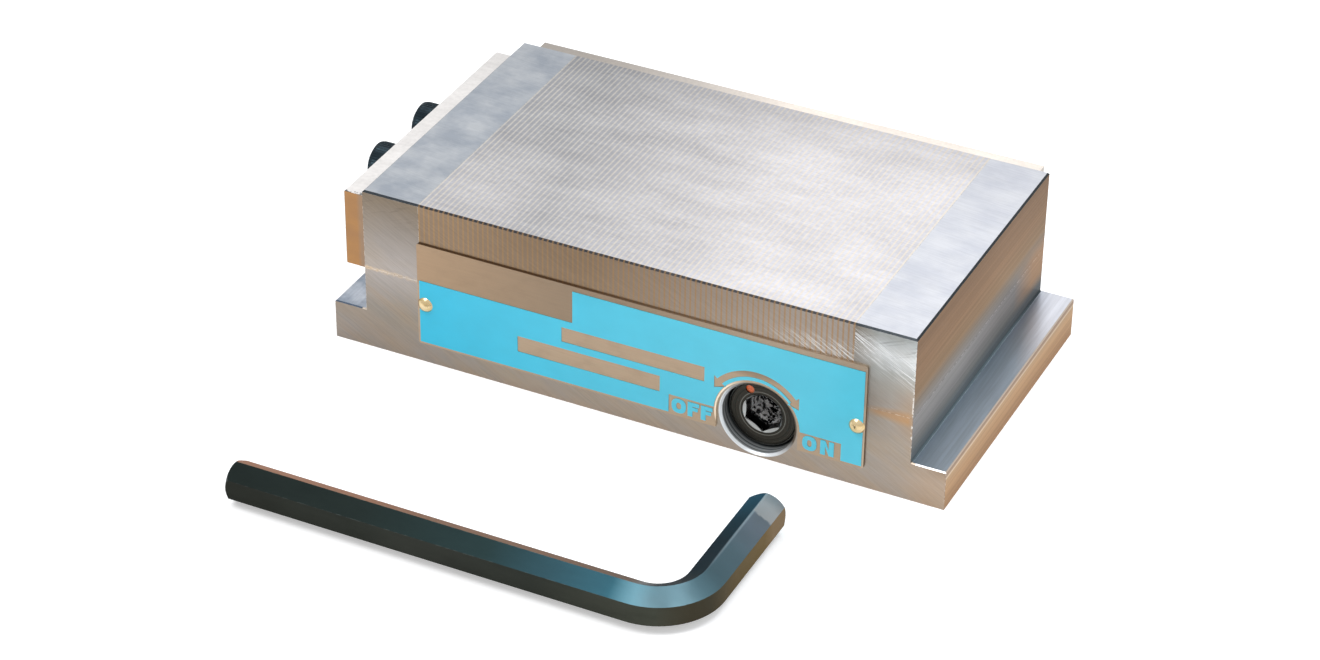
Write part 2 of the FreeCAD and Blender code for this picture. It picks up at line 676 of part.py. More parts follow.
def make_rear_stop():
    """The longer plate on the back."""
    low = HALF_W + STOP_GAP
    high = low + STOP_T
    plate = box((-REAR_STOP_L / 2, REAR_STOP_L / 2), (low, high), (STOP_Z0, STOP_Z0 + STOP_H))
    plate = plate.makeChamfer(STOP_BEVEL, edges_at(plate, lambda p: near(p.y, high)))
    for place in (-REAR_SCREW_X, REAR_SCREW_X):
        plate = plate.cut(slot_cut(place, "y", low, high, REAR_SCREW_Z, REAR_STOP_TRAVEL))
    return plate


def cap_screw(seat, inward):
    """A socket head cap screw whose round-rimmed head stands outwards from its seat."""
    run = Vector(*inward)
    at = Vector(*seat)
    top = at - run * CAP_HEAD_H
    head = rod(CAP_HEAD_R, tuple(top), seat)
    rim = [e for e in head.Edges if near((e.CenterOfMass - top).Length, 0)]
    head = head.makeFillet(CAP_HEAD_ROUND, rim)
    shank = rod(CAP_SCREW_R, seat, tuple(at + run * (STOP_T + 2 * STOP_GAP + CAP_GRIP)))
    socket = hexagon(CAP_SOCKET_AF, tuple(top), inward, CAP_SOCKET_D)
    return head.fuse(shank).cut(socket)


def make_side_stop_screws():
    seat_x = -HALF_L - 2 * STOP_GAP - STOP_T
    return Part.makeCompound([cap_screw((seat_x, y, SIDE_SCREW_Z), (1, 0, 0)) for y in side_screw_places()])


def make_rear_stop_screws():
    seat_y = HALF_W + 2 * STOP_GAP + STOP_T
    places = (-REAR_SCREW_X, REAR_SCREW_X)
    return Part.makeCompound([cap_screw((x, seat_y, REAR_SCREW_Z), (0, -1, 0)) for x in places])


def make_pocket_seal():
    return seal_groove(SEAL_GAP)


def make_hex_key():
    """A bent hexagonal bar that lies on one ridge, with both tips bevelled."""
    z = KEY_CORNER_R
    corner = Vector(KEY_OUTER_X - KEY_AF / 2, KEY_OUTER_Y + KEY_AF / 2, z)
    long_end = Vector(KEY_OUTER_X - KEY_LONG, corner.y, z)
    short_end = Vector(corner.x, KEY_OUTER_Y + KEY_SHORT, z)
    bend_in = corner - Vector(KEY_BEND_R, 0, 0)
    bend_out = corner + Vector(0, KEY_BEND_R, 0)
    bend_centre = corner + Vector(-KEY_BEND_R, KEY_BEND_R, 0)
    long_arm = hexagon(KEY_AF, tuple(long_end), (1, 0, 0), bend_in.x - long_end.x)
    short_arm = hexagon(KEY_AF, tuple(bend_out), (0, 1, 0), short_end.y - bend_out.y)
    section = [f for f in long_arm.Faces if near(f.CenterOfMass.x, bend_in.x)][0]
    bend = section.revolve(bend_centre, Vector(0, 0, 1), 90)
    bar = long_arm.fuse(bend).fuse(short_arm).removeSplitter()
    for tip, inward in ((long_end, Vector(1, 0, 0)), (short_end, Vector(0, -1, 0))):
        bar = bar.cut(tip_waste(tip, inward))
    return bar


def tip_waste(tip, inward):
    """What a cone takes off the corners of a hexagonal bar's end."""
    reach = KEY_CORNER_R - KEY_AF / 2 + KEY_BEVEL
    wide = KEY_CORNER_R + KEY_BEVEL
    block = rod(wide, tuple(tip), tuple(tip + inward * reach))
    kept = cone(wide - reach, wide, tuple(tip), tuple(tip + inward * reach))
    return block.cut(kept)


PARTS = {
    "base": make_base(),
    "left_end_block": make_end_block(-1),
    "right_end_block": make_end_block(1),
    "steel_laminations": make_steel_laminations(),
    "brass_separators": make_brass_separators(),
    "pole_plate_screws": make_pole_plate_screws(),
    "dowels": make_dowels(),
    "pocket_seal": make_pocket_seal(),
    "nameplate": make_nameplate(),
    "nameplate_rivets": make_nameplate_rivets(),
    "shaft_bush": make_shaft_bush(),
    "guide_strips": make_guide_strips(),
    "travel_stop_pins": make_travel_stop_pins(),
    "drive_shaft": make_drive_shaft(),
    "shaft_o_ring": make_shaft_o_ring(),
    "thrust_washer": make_thrust_washer(),
    "snap_ring": make_snap_ring(),
    "stop_dog": make_stop_dog(),
    "indicator_dot": make_indicator_dot(),
    "carriage_frame": make_carriage_frame(),
    "carriage_plate": make_carriage_plate(),
    "carriage_screws": make_carriage_screws(),
    "magnets": make_magnets(),
    "magnet_pole_bars": make_magnet_pole_bars(),
    "side_stop": make_side_stop(),
    "side_stop_screws": make_side_stop_screws(),
    "rear_stop": make_rear_stop(),
    "rear_stop_screws": make_rear_stop_screws(),
    "hex_key": make_hex_key(),
}

os.makedirs("parts", exist_ok=True)
for name, shape in PARTS.items():
    shape.exportStep(f"parts/{name}.step")
    size = shape.BoundBox
    print(f"{name:20s} solids {len(shape.Solids):3d} valid {shape.isValid()} volume {shape.Volume:10.1f}"
          f"  x {size.XMin:7.2f} {size.XMax:7.2f}  y {size.YMin:7.2f} {size.YMax:7.2f}"
          f"  z {size.ZMin:6.2f} {size.ZMax:6.2f}")
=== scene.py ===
# %% [markdown]
# # A fine-pole magnetic chuck and its key
#
# The chuck is a ground steel block with a work face of thin steel plates and brass lines. It has a clamping
# flange at each end, two stop plates, a blue nameplate and a hexagon drive that turns half a turn. The
# frame brings every piece in at its real size. What is left is finish: ground steel with crossed scratches,
# enamel, brass, black oxide, and the small pieces whose form belongs to the finish.

# %% Load the frame
import math

import bpy
from mathutils import Matrix, Vector


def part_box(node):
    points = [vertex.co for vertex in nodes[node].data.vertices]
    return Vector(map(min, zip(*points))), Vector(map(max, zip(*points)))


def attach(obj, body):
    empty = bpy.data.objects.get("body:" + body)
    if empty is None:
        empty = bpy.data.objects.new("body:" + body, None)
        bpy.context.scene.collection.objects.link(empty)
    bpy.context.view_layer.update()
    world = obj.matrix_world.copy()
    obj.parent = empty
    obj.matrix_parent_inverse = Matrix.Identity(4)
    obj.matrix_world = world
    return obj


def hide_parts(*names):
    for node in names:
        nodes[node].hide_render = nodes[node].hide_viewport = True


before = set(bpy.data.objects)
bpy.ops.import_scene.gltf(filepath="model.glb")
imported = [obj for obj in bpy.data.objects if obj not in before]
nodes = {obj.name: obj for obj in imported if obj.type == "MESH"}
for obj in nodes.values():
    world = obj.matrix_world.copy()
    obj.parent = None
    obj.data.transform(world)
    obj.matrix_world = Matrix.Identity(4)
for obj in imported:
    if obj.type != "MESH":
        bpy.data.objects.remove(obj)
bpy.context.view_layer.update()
MM = 0.001

# %% [markdown]
# ## Camera
#
# A product photograph like this is taken with a long lens, so that parallel edges stay nearly parallel. A
# camera can be aimed with a tracking constraint, but three plain turns are easier to read: round the
# upright axis, up from straight down, and a small roll.

# %% Camera
CAMERA_AT = Vector((0.28412, -0.61591, 0.44473))
CAMERA_TURN = math.radians(25.609)
CAMERA_HEIGHT = math.radians(33.185)
CAMERA_ROLL = math.radians(0.756)

camera_data = bpy.data.cameras.new("camera")
camera_data.lens = 98.97
camera_data.sensor_width = 36.0
camera_data.sensor_fit = "HORIZONTAL"
camera_data.clip_start = 0.05
camera_data.clip_end = 20.0
camera = bpy.data.objects.new("camera", camera_data)
bpy.context.scene.collection.objects.link(camera)
aim = Matrix.Rotation(CAMERA_TURN, 4, "Z") @ Matrix.Rotation(math.pi / 2 - CAMERA_HEIGHT, 4, "X")
camera.matrix_world = Matrix.Translation(CAMERA_AT) @ aim @ Matrix.Rotation(CAMERA_ROLL, 4, "Z")
bpy.context.scene.camera = camera
bpy.context.scene.view_settings.view_transform = "Standard"

# %% [markdown]
# ## Small helpers for node trees
#
# A material is a graph, and a graph is long to write one node at a time. These helpers make a node, set or
# link its inputs by name, and give back its first output, so that a finish reads like a recipe.


# %% Helpers for node trees
def srgb(code):
    """A colour picker's hex code as the linear colour that a shader wants."""
    values = [int(code[k:k + 2], 16) / 255 for k in (1, 3, 5)]
    linear = [v / 12.92 if v <= 0.04045 else ((v + 0.055) / 1.055) ** 2.4 for v in values]
    return (*linear, 1.0)


def plug(tree, socket, value):
    """Links an output to an input, or sets the input to a plain value."""
    if isinstance(value, bpy.types.NodeSocket):
        tree.links.new(value, socket)
    else:
        socket.default_value = value


def add_node(tree, kind, settings=None, inputs=None):
    """Makes a node, with its settings, and its inputs by name or number."""
    made = tree.nodes.new(kind)
    for key, value in (settings or {}).items():
        setattr(made, key, value)
    for key, value in (inputs or {}).items():
        plug(tree, made.inputs[key], value)
    return made


def calc(tree, operation, a, b=0.0):
    """One step of arithmetic."""
    return add_node(tree, "ShaderNodeMath", {"operation": operation}, {0: a, 1: b}).outputs[0]


def mix_colour(tree, share, first, second):
    """Mixes two colours by a share from 0 to 1."""
    made = add_node(tree, "ShaderNodeMix", {"data_type": "RGBA"})
    plug(tree, made.inputs[0], share)
    plug(tree, made.inputs[6], first)
    plug(tree, made.inputs[7], second)
    return made.outputs[2]


def span(tree, value, low, high, to_low=0.0, to_high=1.0):
    """Stretches a value from one range to another, and stops it at the ends."""
    inputs = {"Value": value, "From Min": low, "From Max": high, "To Min": to_low, "To Max": to_high}
    return add_node(tree, "ShaderNodeMapRange", {"clamp": True}, inputs).outputs[0]


def ramp(tree, value, stops):
    """A run of colours along a value, given as (value, hex code) pairs from low to high."""
    low, high = stops[0][0], stops[-1][0]
    made = add_node(tree, "ShaderNodeValToRGB", inputs={0: span(tree, value, low, high)})
    elements = made.color_ramp.elements
    elements[0].color = srgb(stops[0][1])
    elements[1].color = srgb(stops[-1][1])
    for at, code in stops[1:-1]:
        elements.new((at - low) / (high - low)).color = srgb(code)
    return made.outputs[0]


def shade(tree, colour, share, low, high):
    """Makes a colour low times as bright where a share is 0, and high times where it is 1."""
    factor = span(tree, share, 0.0, 1.0, low, high)
    return add_node(tree, "ShaderNodeVectorMath", {"operation": "SCALE"},
                    {0: colour, "Scale": factor}).outputs[0]


def noise(tree, place, scale, detail):
    """A noise pattern's value at a place in millimetres."""
    return add_node(tree, "ShaderNodeTexNoise",
                    inputs={"Vector": place, "Scale": scale, "Detail": detail}).outputs[0]


def looks(tree):
    """The way a face looks in the object's own axes, as X, Y and Z outputs."""
    normal = add_node(tree, "ShaderNodeTexCoord").outputs["Normal"]
    return add_node(tree, "ShaderNodeSeparateXYZ", inputs={0: normal}).outputs


def new_object(name, data):
    """An object in the scene at the origin, unturned and unscaled."""
    made = bpy.data.objects.new(name, data)
    bpy.context.scene.collection.objects.link(made)
    return made


def object_mm(tree):
    """The place on the object in millimetres, as X, Y and Z outputs and as one vector."""
    place = add_node(tree, "ShaderNodeTexCoord").outputs["Object"]
    scaled = add_node(tree, "ShaderNodeVectorMath", {"operation": "SCALE"},
                      {0: place, "Scale": 1 / MM}).outputs[0]
    parts = add_node(tree, "ShaderNodeSeparateXYZ", inputs={0: scaled}).outputs
    return scaled, parts


def new_group(name, inputs, outputs):
    """A shader group with named inputs, given as (name, default), and outputs, given as names."""
    group = bpy.data.node_groups.new(name, "ShaderNodeTree")
    for label, default in inputs:
        kind = "NodeSocketVector" if isinstance(default, tuple) else "NodeSocketFloat"
        socket = group.interface.new_socket(label, in_out="INPUT", socket_type=kind)
        socket.default_value = default
    for label in outputs:
        group.interface.new_socket(label, in_out="OUTPUT", socket_type="NodeSocketFloat")
    return group, group.nodes.new("NodeGroupInput").outputs, group.nodes.new("NodeGroupOutput").inputs


def use_group(tree, group, **values):
    """Places a group in a tree. An input's name is written with underscores for its spaces."""
    made = add_node(tree, "ShaderNodeGroup", {"node_tree": group})
    for key, value in values.items():
        plug(tree, made.inputs[key.replace("_", " ")], value)
    return made.outputs


def new_material(name, **sockets):
    """A material with its shader's plain values set on the shader's own inputs."""
    material = bpy.data.materials.new(name)
    material.use_nodes = True
    shader = material.node_tree.nodes["Principled BSDF"]
    for key, value in sockets.items():
        shader.inputs[key.replace("_", " ")].default_value = value
    return material, material.node_tree, shader.inputs


def bump(tree, height, distance, strength=1.0):
    """A normal from a height that runs from 0 to 1, over a distance in metres."""
    inputs = {"Height": height, "Distance": distance, "Strength": strength}
    return add_node(tree, "ShaderNodeBump", inputs=inputs).outputs[0]


# %% [markdown]
# ## Floor, backdrop and light
#
# Metal has little colour of its own, and mostly shows what is round it. So the room matters more here than
# on painted things. Floor and sky are white to the camera and in reflections, and the sky is cool above and
# warm behind the camera for the light that it sheds, so that dull faces differ. The floor still takes a
# shadow. The softboxes stand high, because a low one is mirrored in the work face and washes it out from
# some sides.

# %% Floor and backdrop
FLOOR_HALF = 3.0
FLOOR_GLOW = 0.42


def background_rays(tree):
    """1 for the camera's rays and for those of reflections and glass, which all see the white background."""
    rays = add_node(tree, "ShaderNodeLightPath").outputs
    seen = calc(tree, "MAXIMUM", rays["Is Camera Ray"], rays["Is Glossy Ray"])
    return calc(tree, "MAXIMUM", seen, rays["Is Transmission Ray"])


def make_floor():
    mesh = bpy.data.meshes.new("floor")
    corners = [(-1, -1), (1, -1), (1, 1), (-1, 1)]
    mesh.from_pydata([(x * FLOOR_HALF, y * FLOOR_HALF, 0.0) for x, y in corners], [], [(0, 1, 2, 3)])
    floor = new_object("floor", mesh)
    material = bpy.data.materials.new("white_floor")
    material.use_nodes = True
    tree = material.node_tree
    tree.nodes.clear()
    paper = add_node(tree, "ShaderNodeBsdfDiffuse", inputs={"Color": (0.8, 0.8, 0.8, 1.0)}).outputs[0]
    strength = calc(tree, "MULTIPLY", background_rays(tree), FLOOR_GLOW)
    glow = add_node(tree, "ShaderNodeEmission", inputs={"Strength": strength}).outputs[0]
    surface = add_node(tree, "ShaderNodeAddShader", inputs={0: paper, 1: glow}).outputs[0]
    add_node(tree, "ShaderNodeOutputMaterial", inputs={"Surface": surface})
    mesh.materials.append(material)


make_floor()


# %% Sky and lamps
BRIGHT_SIDE = (0.0, 0.62, 0.78)
COOL_SKY = (0.86, 0.9, 0.96, 1.0)
WARM_ROOM = (0.42, 0.38, 0.34, 1.0)
WHITE = (1.0, 1.0, 1.0, 1.0)


def make_world():
    world = bpy.data.worlds.new("studio")
    bpy.context.scene.world = world
    world.use_nodes = True
    tree = world.node_tree
    tree.nodes.clear()
    direction = add_node(tree, "ShaderNodeTexCoord").outputs["Generated"]
    toward = add_node(tree, "ShaderNodeVectorMath", {"operation": "DOT_PRODUCT"},
                      {0: direction, 1: BRIGHT_SIDE})
    share = span(tree, toward.outputs["Value"], -0.7, 0.9)
    room = mix_colour(tree, share, WARM_ROOM, COOL_SKY)
    shown = mix_colour(tree, background_rays(tree), room, WHITE)
    sky = add_node(tree, "ShaderNodeBackground", inputs={"Color": shown, "Strength": 1.0}).outputs[0]
    add_node(tree, "ShaderNodeOutputWorld", inputs={"Surface": sky})


def make_lamp(name, place, target, width, height, watts, colour=(1.0, 1.0, 1.0)):
    data = bpy.data.lights.new(name, "AREA")
    data.shape = "RECTANGLE"
    data.size = width
    data.size_y = height
    data.energy = watts
    data.color = colour
    lamp = new_object(name, data)
    away = (Vector(place) - Vector(target)).to_track_quat("Z", "Y")
    lamp.matrix_world = Matrix.Translation(place) @ away.to_matrix().to_4x4()


make_world()
make_lamp("softbox_left", (-0.45, -0.55, 1.2), (0.0, 0.0, 0.0), 0.7, 0.7, 7.4)
make_lamp("softbox_back", (0.2, 0.62, 1.25), (0.02, 0.0, 0.03), 0.9, 0.5, 5.0, (0.95, 0.97, 1.0))
make_lamp("strip_above", (0.34, 0.0, 0.95), (0.04, -0.1, 0.0), 0.25, 0.25, 1.6)

# %% [markdown]
# ## Finishes shared by more than one material
#
# Ground steel is never even. A wheel leaves fine straight lines, handling adds crossed scratches, and oil
# leaves faint brown clouds. Each effect is a group that several materials place with their own values. A
# scratch is a noise pattern that is stretched a long way in one direction: it costs nothing in mesh and
# stays sharp close up.


# %% Scratch, cloud and edge groups
def make_scratch_group():
    """Fine lines along one direction. Turn is in radians, Spacing and Reach are in millimetres."""
    inputs = [("Turn", (0.0, 0.0, 0.0)), ("Spacing", 0.25), ("Reach", 12.0), ("Contrast", 0.12)]
    group, given, result = new_group("scratches", inputs, ["Lines"])
    place = object_mm(group)[0]
    turned = add_node(group, "ShaderNodeVectorRotate", {"rotation_type": "EULER_XYZ"},
                      {"Vector": place, "Rotation": given["Turn"]}).outputs[0]
    across = calc(group, "DIVIDE", 1.0, given["Spacing"])
    along = calc(group, "DIVIDE", 1.0, given["Reach"])
    scale = add_node(group, "ShaderNodeCombineXYZ", inputs={"X": along, "Y": across, "Z": across}).outputs[0]
    stretched = add_node(group, "ShaderNodeVectorMath", {"operation": "MULTIPLY"},
                         {0: turned, 1: scale}).outputs[0]
    noise = add_node(group, "ShaderNodeTexNoise", inputs={"Vector": stretched, "Scale": 1.0, "Detail": 3.0,
                                                          "Roughness": 0.65}).outputs[0]
    low = calc(group, "SUBTRACT", 0.5, given["Contrast"])
    high = calc(group, "ADD", 0.5, given["Contrast"])
    plug(group, result["Lines"], span(group, noise, low, high))
    return group


def make_cloud_group():
    """Soft patches. Size and Stretch are millimetres across and along X, Low and High set where they start."""
    inputs = [("Size", 12.0), ("Stretch", 24.0), ("Low", 0.45), ("High", 0.65), ("Seed", 0.0)]
    group, given, result = new_group("clouds", inputs, ["Patches"])
    place = object_mm(group)[0]
    across = calc(group, "DIVIDE", 1.0, given["Size"])
    along = calc(group, "DIVIDE", 1.0, given["Stretch"])
    scale = add_node(group, "ShaderNodeCombineXYZ", inputs={"X": along, "Y": across, "Z": across}).outputs[0]
    stretched = add_node(group, "ShaderNodeVectorMath", {"operation": "MULTIPLY"},
                         {0: place, 1: scale}).outputs[0]
    shift = add_node(group, "ShaderNodeCombineXYZ",
                     inputs={"X": given["Seed"], "Y": given["Seed"]}).outputs[0]
    moved = add_node(group, "ShaderNodeVectorMath", {"operation": "ADD"}, {0: stretched, 1: shift}).outputs[0]
    noise = add_node(group, "ShaderNodeTexNoise", inputs={"Vector": moved, "Scale": 1.0, "Detail": 4.0,
                                                          "Roughness": 0.55}).outputs[0]
    plug(group, result["Patches"], span(group, noise, given["Low"], given["High"]))
    return group


def make_edge_group():
    """Where a corner is near: the wear that handling leaves, and on the ground steel a painted glint along the
    edge. Radius is in metres.
    """
    group, given, result = new_group("edge wear and glint", [("Radius", 0.0003), ("Gain", 3.0)], ["Edge"])
    soft = add_node(group, "ShaderNodeBevel", {"samples": 6}, {"Radius": given["Radius"]}).outputs[0]
    true = add_node(group, "ShaderNodeNewGeometry").outputs["Normal"]
    dot = add_node(group, "ShaderNodeVectorMath", {"operation": "DOT_PRODUCT"},
                   {0: soft, 1: true}).outputs["Value"]
    worn = calc(group, "MULTIPLY", calc(group, "SUBTRACT", 1.0, dot), given["Gain"])
    plug(group, result["Edge"], span(group, worn, 0.0, 1.0))
    return group


SCRATCHES = make_scratch_group()
CLOUDS = make_cloud_group()
EDGE_WEAR_AND_GLINT = make_edge_group()

# %% [markdown]
# ## Where a face looks, and where it is
#
# The same ground block looks different on each side, and its colour carries painted reflections: the front is
# painted a warm tone, the far end browner at its top, and the upward faces pale as the sky they mirror. One
# material can hold all of that when it knows which way a face looks, from its normal, and where it is, from
# its place in millimetres. The measures come from the frame.

# %% Places on the block
lowest_block, highest_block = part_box("left_end_block")
SEAM_Z = lowest_block.z / MM
TOP_Z = highest_block.z / MM
FRONT_Y = lowest_block.y / MM
drive_low, drive_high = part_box("drive_shaft")
DRIVE = Vector(((drive_low.x + drive_high.x) / 2, 0.0, (drive_low.z + drive_high.z) / 2)) / MM
HEAD_FACE_Y = drive_low.y / MM
PLATE_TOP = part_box("nameplate")[1].z / MM
PLATE_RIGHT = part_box("nameplate")[1].x / MM
SOCKET_R = 5.2
HALF_L = 65.0
BORE_R = 8.5
print("seam at", round(SEAM_Z, 2), "work face at", round(TOP_Z, 2), "drive at", [round(v, 2) for v in DRIVE])


def facing(tree, axis, sign=1.0):
    """1 on faces that look along an axis of the object, 0 on the others."""
    return span(tree, calc(tree, "MULTIPLY", looks(tree)[axis], sign), 0.8, 0.95)


def both(tree, *masks):
    """Where all of some masks are 1."""
    result = masks[0]
    for mask in masks[1:]:
        result = calc(tree, "MULTIPLY", result, mask)
    return result


def tint(tree, colour, share, code, strength=1.0):
    """Lays a tone over a colour by a share of some strength."""
    if strength != 1.0:
        share = calc(tree, "MULTIPLY", share, strength)
    return mix_colour(tree, share, colour, srgb(code))


def times(tree, a, b):
    """Three short names for the steps that come most often."""
    return calc(tree, "MULTIPLY", a, b)


def less(tree, a, b):
    return calc(tree, "SUBTRACT", a, b)


def more(tree, a, b):
    return calc(tree, "ADD", a, b)


def top_line(tree, at):
    """The narrow bevel round the work face, which is given a dark tone."""
    z = looks(tree)["Z"]
    sloped = both(tree, span(tree, z, 0.25, 0.4), span(tree, z, 0.93, 0.85))
    return both(tree, sloped, span(tree, at["Z"], TOP_Z - 0.6, TOP_Z - 0.5))


def radius_from_drive(tree, at):
    """How far a point is from the drive's axis, in millimetres."""
    across = less(tree, at["X"], DRIVE.x)
    up = less(tree, at["Z"], DRIVE.z)
    squares = more(tree, times(tree, across, across), times(tree, up, up))
    return calc(tree, "SQRT", squares)


# %% [markdown]
# ## Ground steel of the block
#
# The front is painted a warm taupe as a painted reflection, with a fine hatch that falls to the right, and
# its scuffs at the upper right carry painted glints. The far end runs from brown to grey with lines along its
# length, a painted reflection of brown surroundings. A rolled burr marks the seam at the left, painted as the
# bright line that it makes in the light.

# %% Tones of the front, the end and the top
FALLING = math.radians(-30)
ALONG_Y = math.radians(-90)


def front_tone(tree, at):
    # Painted reflection: warm tones by height, with a painted highlight band near the top of the right block.
    left = ramp(tree, at["Z"],
                [(2, "#888079"), (11, "#868079"), (22, "#9E9792"), (31, "#877F77"), (39, "#766A5C")])
    right = ramp(tree, at["Z"], [(2, "#9B9086"), (15, "#9A938C"), (23, "#A79E95"), (30.5, "#BDBFBC"),
                                 (34.5, "#ECEEEE"), (39, "#B4B8B7")])
    along = span(tree, at["X"], -60.0, 58.0)
    beside = span(tree, at["X"], 50.0, 57.0)
    high_up = span(tree, at["Z"], 15.0, 22.0)
    low_down = less(tree, 1.0, high_up)
    share = more(tree, both(tree, along, low_down), both(tree, beside, high_up))
    tone = mix_colour(tree, share, left, right)
    stains = use_group(tree, CLOUDS, Size=9.0, Stretch=16.0, Low=0.42, High=0.7)["Patches"]
    tone = tint(tree, tone, stains, "#97815F", 0.22)
    low_band = span(tree, at["Z"], SEAM_Z - 1, SEAM_Z - 6)
    tone = tint(tree, tone, both(tree, span(tree, at["X"], 63.0, 69.0), low_band), "#A19080")
    tone = shade(tree, tone, both(tree, span(tree, at["X"], 67.0, 71.0), span(tree, at["Z"], 6.5, 10.5)),
                 1.0, 0.66)
    corner = both(tree, span(tree, at["X"], 60.0, 64.0), span(tree, at["Z"], 14.0, 18.0),
                  span(tree, at["Z"], 30.0, 25.0))
    tone = tint(tree, tone, corner, "#A5835F", 0.4)
    hatch = use_group(tree, SCRATCHES, Turn=(0.0, FALLING, 0.0), Spacing=0.22, Reach=6.0)["Lines"]
    tone = shade(tree, tone, hatch, 0.95, 1.06)
    rising = use_group(tree, SCRATCHES, Turn=(0.0, math.radians(22), 0.0), Spacing=0.5, Reach=11.0)["Lines"]
    near_top = both(tree, span(tree, rising, 0.75, 1.0), span(tree, at["Z"], 32.0, 37.0))
    tone = tint(tree, tone, near_top, "#4F4943", 0.3)
    sweeps = use_group(tree, SCRATCHES, Turn=(0.0, FALLING, 0.0), Spacing=3.5, Reach=40.0)["Lines"]
    tone = tint(tree, tone, times(tree, both(tree, sweeps, low_band), 0.2), "#AA8B66")
    # Painted glints on the scratches in the scuffed zone at the upper right.
    scuff_glints = use_group(tree, SCRATCHES, Turn=(0.0, FALLING, 0.0), Spacing=0.26, Reach=6.0,
                      Contrast=0.09)["Lines"]
    slope = more(tree, at["Z"], times(tree, at["X"], 0.35))
    scuff_glint_zone = both(tree, span(tree, slope, 49.0, 53.0), span(tree, slope, 58.0, 55.0),
                   span(tree, at["X"], 45.0, 52.0))
    scuff_glints = both(tree, span(tree, scuff_glints, 0.6, 0.95), scuff_glint_zone)
    return tint(tree, tone, scuff_glints, "#FFFFFF", 0.75), hatch


def end_tone(tree, at):
    # Painted reflection of brown surroundings: grey low down and brown towards the top, darker towards the back
    # low down, with a warmer patch near the back.
    tone = ramp(tree, at["Z"], [(11.4, "#6B6F70"), (13.5, "#817F7A"), (16, "#8E8A86"), (20, "#989491"),
                                (23, "#8A8075"), (26, "#91775B"), (31, "#907256"), (39, "#81654C")])
    tone = shade(tree, tone, both(tree, span(tree, at["Y"], -12.0, 12.0), span(tree, at["Z"], 24.5, 21.5)),
                 1.0, 0.74)
    tone = shade(tree, tone, span(tree, at["Y"], 12.0, 36.0), 1.0, 0.9)
    warm = both(tree, span(tree, at["Y"], 20.0, 31.0), span(tree, at["Z"], 12.0, 15.0),
                span(tree, at["Z"], 25.0, 21.0))
    tone = tint(tree, tone, warm, "#A4805E", 0.85)
    flange = ramp(tree, at["Z"],
                  [(1, "#A98563"), (5, "#B8946F"), (7.4, "#BB9B79"), (7.9, "#D6C1A6"), (8.4, "#A78E78"),
                                  (11, "#9A8A7E")])
    tone = mix_colour(tree, span(tree, at["X"], HALF_L + 1.0, HALF_L + 6.0), tone, flange)
    lines = use_group(tree, SCRATCHES, Turn=(0.0, 0.0, ALONG_Y), Spacing=0.6, Reach=60.0)["Lines"]
    return shade(tree, tone, lines, 0.92, 1.08)


def top_tone(tree, at):
    # Painted reflection: the work face paler to the right and darker towards the back, the flange tops a little
    # lighter at the front, and a painted glare near the right flange's back corner.
    haze = use_group(tree, CLOUDS, Size=7.0, Stretch=8.0, Low=0.36, High=0.64, Seed=5.0)["Patches"]
    left = mix_colour(tree, haze, srgb("#9EA5AF"), srgb("#BBBFC4"))
    right = mix_colour(tree, haze, srgb("#CCCFD8"), srgb("#DADCE2"))
    tone = mix_colour(tree, span(tree, at["X"], -50.0, 50.0), left, right)
    tone = shade(tree, tone, span(tree, at["Y"], 2.0, 37.0), 1.0, 0.9)
    fine = use_group(tree, SCRATCHES, Turn=(0.0, 0.0, 0.12), Spacing=0.35, Reach=9.0)["Lines"]
    tone = shade(tree, tone, fine, 0.97, 1.05)
    ledge = span(tree, at["Z"], 14.0, 12.0)
    flange = mix_colour(tree, span(tree, at["Y"], 8.0, 30.0), srgb("#A9B9C8"), srgb("#A1A7B3"))
    glare = more(tree, at["Y"], times(tree, at["X"], 4.0))
    flange = tint(tree, flange, span(tree, glare, 290.0, 312.0), "#D5D7DF")
    left_flange = mix_colour(tree, haze, srgb("#929CAA"), srgb("#D0D5DE"))
    flange = mix_colour(tree, span(tree, at["X"], -60.0, 60.0), left_flange, flange)
    streaks = use_group(tree, SCRATCHES, Turn=(0.0, 0.0, ALONG_Y), Spacing=1.0, Reach=24.0)["Lines"]
    return mix_colour(tree, ledge, tone, shade(tree, flange, streaks, 0.93, 1.1))


def step_fillet(tree, at):
    """The hollow corner where a flange meets the block, which lies in its own shadow."""
    look = looks(tree)
    sideways = span(tree, calc(tree, "ABSOLUTE", look["X"]), 0.15, 0.3)
    return both(tree, sideways, span(tree, look["Z"], 0.15, 0.3), span(tree, at["Z"], 13.0, 12.5))


def flange_edge(tree, at, axis):
    """The bevels along the flanges' top edges that slope along an axis, which catch the light."""
    look = looks(tree)
    sloped = both(tree, span(tree, look["Z"], 0.4, 0.5), span(tree, look["Z"], 0.9, 0.8))
    sideways = span(tree, calc(tree, "ABSOLUTE", look[axis]), 0.4, 0.5)
    outside = span(tree, calc(tree, "ABSOLUTE", at["X"]), HALF_L + 1.0, HALF_L + 1.2)
    return both(tree, sloped, sideways, span(tree, at["Z"], 12.0, 11.0), outside)


def bore_tone(tree, at):
    """Painted light down the bore's wall: a bright mouth, bands of painted reflection, a seat round the drive
    in painted shade, and painted shade on the upper right.
    """
    tone = ramp(tree, less(tree, at["Y"], FRONT_Y), [
        (0.0, "#E3E7EA"), (0.6, "#D2D6D9"), (1.15, "#7C8185"), (1.35, "#DDE1E3"), (1.8, "#A4A9AC"),
        (2.1, "#50565A"),
        (2.4, "#B4B8BA"), (3.0, "#6A6F72"), (4.5, "#34383A")])
    leftward = less(tree, DRIVE.x, at["X"])
    lowest = less(tree, DRIVE.z, at["Z"])
    side = calc(tree, "DIVIDE", more(tree, leftward, lowest), BORE_R * math.sqrt(2))
    return tint(tree, tone, span(tree, side, 0.25, -0.45), "#6B6156")


